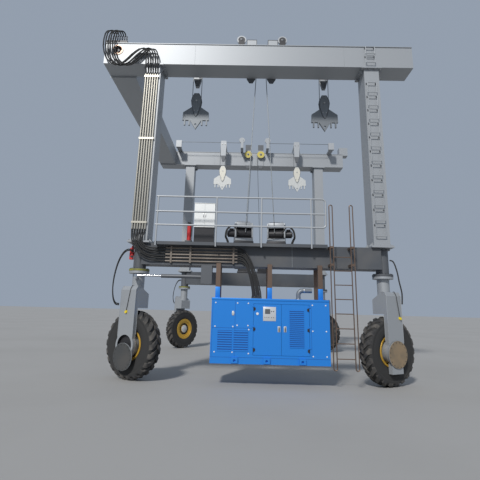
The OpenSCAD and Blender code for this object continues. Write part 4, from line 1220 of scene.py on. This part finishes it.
@dataclass(frozen=True)
class Deck:
    """Cabinet, extinguisher, winches and small parts on the decks.

    Args:
        top: top of the near deck.
        far_top: top of the far lower beam.
    """

    top: float = 3.272
    far_top: float = BEAM_TOP

    def build(self) -> None:
        """Builds everything of this class."""
        matrix = side_matrix(Side.NEAR)
        self._cabinet(matrix)
        self._extinguisher(Group("extinguisher_", matrix, "frame", "red_paint"))
        self._alarm(Group("alarm_", matrix, "frame", "red_paint"))
        for side, base in ((Side.NEAR, self.top), (Side.FAR, self.far_top)):
            for end in End:
                self._winch(side, end, base)
        nut = Shape().rod((0, 0, 0), (0, 0, 0.03), 0.026, 6)
        nut.rod((0, 0, 0.10), (0, 0, 0.13), 0.024, 6)
        spots = [(-4.46 + i * 0.066, -0.20, 9.13) for i in range(9)]
        Group("manifold_", matrix, "frame", "black_steel").repeat("nuts", nut, unturned(spots), STEEL)

    def _cabinet(self, matrix: Matrix) -> None:
        """Adds the dark stand, the roof lip, the handles and the inside of the white cabinet."""
        cabinet = Group("cabinet_", matrix, "frame", "white_paint")
        stand = cabinet.shape().box((-1.718, 0.047, self.top + 0.001), (-1.192, 0.273, 3.7505))
        cabinet.add("stand", stand, BLACK)
        roof = cabinet.shape().box((-1.735, 0.010, 4.392), (-1.175, 0.285, 4.402))
        cabinet.add("roof", roof, WHITE, 0.002)
        for name, x in (("left", -1.485), ("right", -1.425)):
            door = Group(f"cabinet_{name}_", matrix, f"cabinet_door_{name}", "white_paint")
            grip = door.shape().box((x - 0.008, 0.008, 4.02), (x + 0.008, 0.020, 4.12))
            door.add("handle", grip, STEEL, 0.002)
        inside = cabinet.shape().box((-1.69, 0.262, 3.79), (-1.22, 0.266, 4.35))
        for k in range(3):
            inside.box((-1.64, 0.215, 3.86 + 0.16 * k), (-1.27, 0.264, 3.95 + 0.16 * k))
        cabinet.add("switchgear", inside, DARK_GREY)

    def _extinguisher(self, group: Group) -> None:
        """Adds neck, valve, hose and stand of the extinguisher."""
        x, y, z = -1.845, 0.06, self.top
        group.add("shoulder", group.shape().ball((x, y, z + 0.50), 0.0545), RED)
        valve = group.shape().rod((x, y, z + 0.54), (x, y, z + 0.59), 0.016, 16)
        valve.box((x - 0.05, y - 0.01, z + 0.575), (x + 0.04, y + 0.01, z + 0.592))
        valve.box((x - 0.05, y - 0.01, z + 0.600), (x + 0.03, y + 0.01, z + 0.612))
        hose = [(x + 0.03, y, z + 0.57), (x + 0.07, y - 0.02, z + 0.52), (x + 0.065, y - 0.03, z + 0.35),
                (x + 0.060, y - 0.025, z + 0.22)]
        group.add("valve", valve.tube(spline(hose, 5), 0.009, 8), BLACK)
        stand = group.shape().box((x - 0.092, -0.002, z + 0.0005), (x + 0.092, 0.122, z + 0.1215))
        group.add("stand", stand, BLACK, 0.003)

    def _alarm(self, group: Group) -> None:
        """Adds the lamp of the red alarm, and black discs of painted shade for its horn openings."""
        x = -3.265
        # Painted shade: thin black discs stand in for the shade inside the horn openings.
        dark = group.shape()
        for z in (2.93, 3.08):
            dark.rod((x, -0.0605, z), (x, -0.064, z), 0.030, 24)
        group.add("mouths", dark, BLACK)
        lamp = group.shape().rod((x, 0, 3.15), (x, 0, 3.19), 0.035, 24, 0.030)
        group.add("lamp", lamp.ball((x, 0, 3.19), 0.030), RED)

    def _winch(self, side: Side, end: End, base: float) -> None:
        """Adds drum grooves, the housing's front frame and fittings of a winch.

        Args:
            side: the side frame that it stands on.
            end: its end of that side frame.
            base: top of what carries it.
        """
        out = end.value
        name = f"winch_{side.key}_{end.key}"
        place = (side_matrix(side) @ Matrix.Translation((out * 0.43, -0.06, base))
                 @ Matrix.Rotation(math.radians(-out * 8), 4, "Z"))
        winch = Group(f"{name}_", place, "frame", "winch_paint")
        axle = 0.30
        hood = winch.shape()
        for low, top, y1, y2 in ((0.455, 0.585, -0.105, -0.060), (0.10, 0.165, -0.186, -0.150)):
            hood.plate([(-0.225, low), (0.225, low), (0.225, top), (-0.225, top)], y1, y2)
        for x in (-0.232, 0.196):
            hood.box((x, -0.17, 0.10), (x + 0.036, 0.10, 0.56))
        winch.add("housing", hood, GREY, 0.004)
        winch.add("back_plate", winch.shape().box((-0.196, 0.135, 0.10), (0.196, 0.143, 0.56)), BLACK)
        groove = Shape().lathe([(0.1205, -0.004), (0.1275, 0), (0.1205, 0.004)], (0, 0, 0), 40)
        turns = [((-0.18 + 0.024 * k, 0, axle), (0, 0, math.pi / 2)) for k in range(16)]
        winch.repeat("rope_turns", groove, turns, BLACK)
        foot = winch.shape().box((-0.242, -0.202, 0.001), (0.242, 0.202, 0.0905))
        winch.add("base", foot, BLACK, 0.003)
        stub = Shape().rod((0, 0, 0), (0, 0, 0.055), 0.009, 10)
        stub.rod((0, 0, 0.02), (0, 0, 0.035), 0.014, 6)
        winch.repeat("fittings", stub, unturned((-0.16 + 0.04 * k, -0.03, 0.58) for k in range(9)), STEEL)
        motor = winch.shape().rod((out * 0.392, 0, axle), (out * 0.412, 0, axle), 0.060, 32)
        motor.box((out * 0.25, -0.05, 0.385), (out * 0.36, 0.05, 0.43))
        winch.add("motor_parts", motor, BLACK, 0.003)


# Hoists

BLOCK_OUTLINE = (
    (-0.070, 0.250), (-0.140, 0.110), (-0.160, 0.0), (-0.140, -0.150), (-0.060, -0.440), (0, -0.520),
    (0.060, -0.440), (0.140, -0.150), (0.160, 0.0), (0.140, 0.110), (0.070, 0.250))


@dataclass(frozen=True)
class Hoist:
    """Rope falls, trolley and block next to one corner.

    Args:
        corner: the corner.
        plane: the hoist's plane, y in frame axes.
        fall: distance of a rope fall from the trolley's middle.
        fall_steps: number of steps along a fall.
        top_z: where the falls leave the trolley.
        block_z: middle of the block.
        rope_r: radius of the rope.
    """

    corner: Corner
    plane: float = 0.84
    fall: float = 0.1353
    fall_steps: int = 16
    top_z: float = 9.18
    block_z: float = 7.85
    rope_r: float = 0.01

    def build(self) -> None:
        """Builds everything of this class."""
        key = self.corner.key
        matrix = side_matrix(self.corner.side) @ Matrix.Translation((self.corner.trolley_x, self.plane, 0))
        near = self.corner.side is Side.NEAR
        self._ropes(matrix)
        self._block(Group(f"hook_{key}_", matrix, f"hook_{key}", "winch_paint" if near else "cream_paint"),
                    WINCH_GREY if near else CREAM)
        self._trolley(Group(f"trolley_{key}_", matrix, f"trolley_{key}", "light_paint"))

    def _ropes(self, matrix: Matrix) -> None:
        """Builds the two falls, stretched between trolley and block."""
        key = self.corner.key
        shape = Shape(matrix)
        n = self.fall_steps
        for x in (-self.fall, self.fall):
            path = [(x, 0, self.block_z + (self.top_z - self.block_z) * k / n) for k in range(n + 1)]
            shape.tube(path, self.rope_r, 10)
        mesh = shape.mesh("falls", ROPE)
        obj = piece(f"hoist_{key}_falls", mesh, None, [f"hoist_ropes_{key}"])
        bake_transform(obj)

    def _block(self, block: Group, finish: Finish) -> None:
        """Dresses the block: cheeks and rim of its side plates, the plates' bolts and the axle nuts."""
        z = self.block_z
        face, edge, small = block.shape(), block.shape(), block.shape()
        inner = [(x * 0.86, z + (h + 0.12) * 0.90 - 0.12) for x, h in BLOCK_OUTLINE]
        for y in (-0.053, 0.050):
            face.plate(inner, y, y + 0.003)
        block.add("cheeks", face, finish)
        for y in (-0.0515, 0.0515):
            ring = [(x, y, z + h) for x, h in BLOCK_OUTLINE]
            edge.tube([*ring, ring[0]], 0.005, 6)
        block.add("edges", edge, BLACK)
        for x, h in ((0, 0.19), (-0.05, -0.33), (0.05, -0.33)):
            for y, tip in ((-0.053, -0.063), (0.053, 0.063)):
                small.rod((x, y, z + h), (x, tip, z + h), 0.014, 6)
        block.add("bolts", small, STEEL)
        nut = Shape().rod((0, -0.053, 0), (0, -0.068, 0), 0.030, 6)
        block.repeat("axle_nuts", nut, [((0, 0, z), (0, 0, turn)) for turn in (0, math.pi)], STEEL)

    def _trolley(self, trolley: Group) -> None:
        """Dresses the trolley: dark lower bracket and axle nuts."""
        low = trolley.shape()
        outline = [(-0.112, 8.60), (-0.110, 8.56), (-0.050, 8.33), (0.050, 8.33), (0.110, 8.56),
                   (0.112, 8.60)]
        low.plate(outline, -0.0515, -0.0490)
        low.plate(outline, 0.0490, 0.0515)
        trolley.add("bracket", low, DARK_GREY)
        nut = Shape().rod((0, -0.050, 0), (0, -0.066, 0), 0.030, 6)
        places = [((x, 0, self.top_z), (0, 0, turn)) for x in (-0.07, 0.07) for turn in (0, math.pi)]
        trolley.repeat("nuts", nut, places, STEEL)


@dataclass(frozen=True)
class CentreGear:
    """Yellow sheaves and dark plates of the rope gear at the girders' middle.

    Args:
        x: distance of the sheaves from the middle.
        y: plane of the sheaves in frame axes.
        z: height of the sheaves.
        guide_x: distance of the near girder's upper guide sheaves from the middle.
        guide_z: height of the upper guide sheaves.
        guide_half: half width of a guide sheave.
    """

    x: float = 0.30
    y: float = 0.46
    z: float = 8.85
    guide_x: float = 0.60
    guide_z: float = 9.40
    guide_half: float = 0.025

    def build(self) -> None:
        """Builds everything of this class."""
        for side in Side:
            centre = Group(f"centre_{side.key}_", side_matrix(side), "frame", "winch_paint")
            face, hub, plates, cheeks = (centre.shape() for _ in range(4))
            for end in (-1, 1):
                x = end * self.x
                for y, y1, y2 in ((self.y + 0.026, -0.002, 0.001), (self.y - 0.026, -0.001, 0.002)):
                    face.ring(0.060, 0.170, y1, y2, (x, y, self.z), 40)
                hub.rod((x, self.y - 0.03, self.z), (x, self.y + 0.04, self.z), 0.045, 24)
                half, low, top = 0.130, 8.20, 9.40
                lower = [(x - half, GIRDER_LOW), (x - half, GIRDER_LOW - 0.01), (x - 0.052, low),
                         (x + 0.052, low), (x + half, GIRDER_LOW - 0.01), (x + half, GIRDER_LOW)]
                plates.plate(lower, 0.3385, 0.3575)
                upper = [(x - half, GIRDER_TOP), (x + half, GIRDER_TOP), (x + half, top), (x - half, top)]
                plates.plate(upper, 0.33, 0.338)
                if side is Side.NEAR:
                    self._guide(end * self.guide_x, hub, cheeks)
                    self._box_frame(x, cheeks)
            centre.add("sheave_faces", face, YELLOW_SHEAVE)
            centre.add("hubs", hub, DARK_GREY, 0.002)
            centre.add("brackets", plates, DARK_GREY)
            if side is Side.NEAR:
                centre.add("guide_cheeks", cheeks, BLACK)

    def _guide(self, x: float, hub: Shape, cheeks: Shape) -> None:
        """Adds cheeks, sheave and hub of an upper guide sheave."""
        half, z = self.guide_half, self.guide_z
        for y in (-half - 0.018, half + 0.002):
            cheeks.box((x - 0.085, y, GIRDER_TOP + 0.06), (x + 0.085, y + 0.016, z + 0.035))
        cheeks.rod((x, -half - 0.004, z), (x, half + 0.004, z), 0.098, 32)
        hub.rod((x, -half - 0.024, z), (x, half + 0.024, z), 0.035, 20)

    @staticmethod
    def _box_frame(x: float, cheeks: Shape) -> None:
        """Adds the dark frame over a box on the near girder."""
        half, t, front, back, top = 0.143, 0.013, -0.283, -0.197, GIRDER_TOP + 0.19
        cheeks.box((x - half, front, top), (x + half, back, top + 0.014))
        for edge in (x - half, x + half - t):
            cheeks.box((edge, front, GIRDER_TOP + 0.001), (edge + t, back, top))


# Finishes of the CAD nodes

NODE_FINISHES = {
    # deck and lower_beams take the darker grey that holds painted shade.
    "corner_tubes": DARK_GREY, "steering_barrel": DARK_GREY, "deck": LOW_GREY_AND_SHADE, "lower_beams": LOW_GREY_AND_SHADE,
    "handrail": RAIL_GREY, "rope_anchors": RAIL_GREY, "ladder": RUST, "pack_hangers": RUST, "leg_pipes": PIPE,
    "beam_pipes": PIPE_DARK, "hose_manifold": BLACK, "winches": BLACK, "warning_horn": RED,
    "extinguisher": RED, "pack_skid": BLUE, "pack_housing": BLUE, "pack_door_left": BLUE,
    "pack_door_right": BLUE, "exhaust_pipe": WINCH_GREY, "cabinet": WHITE, "cabinet_door_left": WHITE,
    "cabinet_door_right": WHITE, "winch_ropes": ROPE, "top_ropes": ROPE, "steering_rod": CHROME,
}
START_FINISHES = {
    "rim_": YELLOW, "trolley_": RAIL_GREY, "hook_block_near": WINCH_GREY, "hook_block_far": LIGHT_GREY,
}


def finish_of(node: str) -> Finish:
    """The finish of a CAD node.

    Args:
        node: name of the node.

    Returns:
        Its finish, grey paint where nothing else is said.
    """
    if node in NODE_FINISHES:
        return NODE_FINISHES[node]
    for start, finish in START_FINISHES.items():
        if node.startswith(start):
            return finish
    return GREY


def paint_nodes() -> None:
    """Gives each shown CAD node its finish."""
    for node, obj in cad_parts.items():
        material = finish_of(node).material()
        for slot in obj.material_slots:
            slot.material = material


def main() -> None:
    """Builds the scene."""
    logging.basicConfig(level=logging.INFO, format="%(message)s")
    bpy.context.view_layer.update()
    studio = Studio()
    studio.camera()
    for hoses in HOSES:
        hoses.build()
    studio.light()
    studio.floor()
    paint_nodes()
    for corner in CORNERS:
        Wheel(corner).build()
        Hoist(corner).build()
    Structure().build()
    PowerPack().build()
    Deck().build()
    CentreGear().build()


if __name__ == "__main__":
    main()
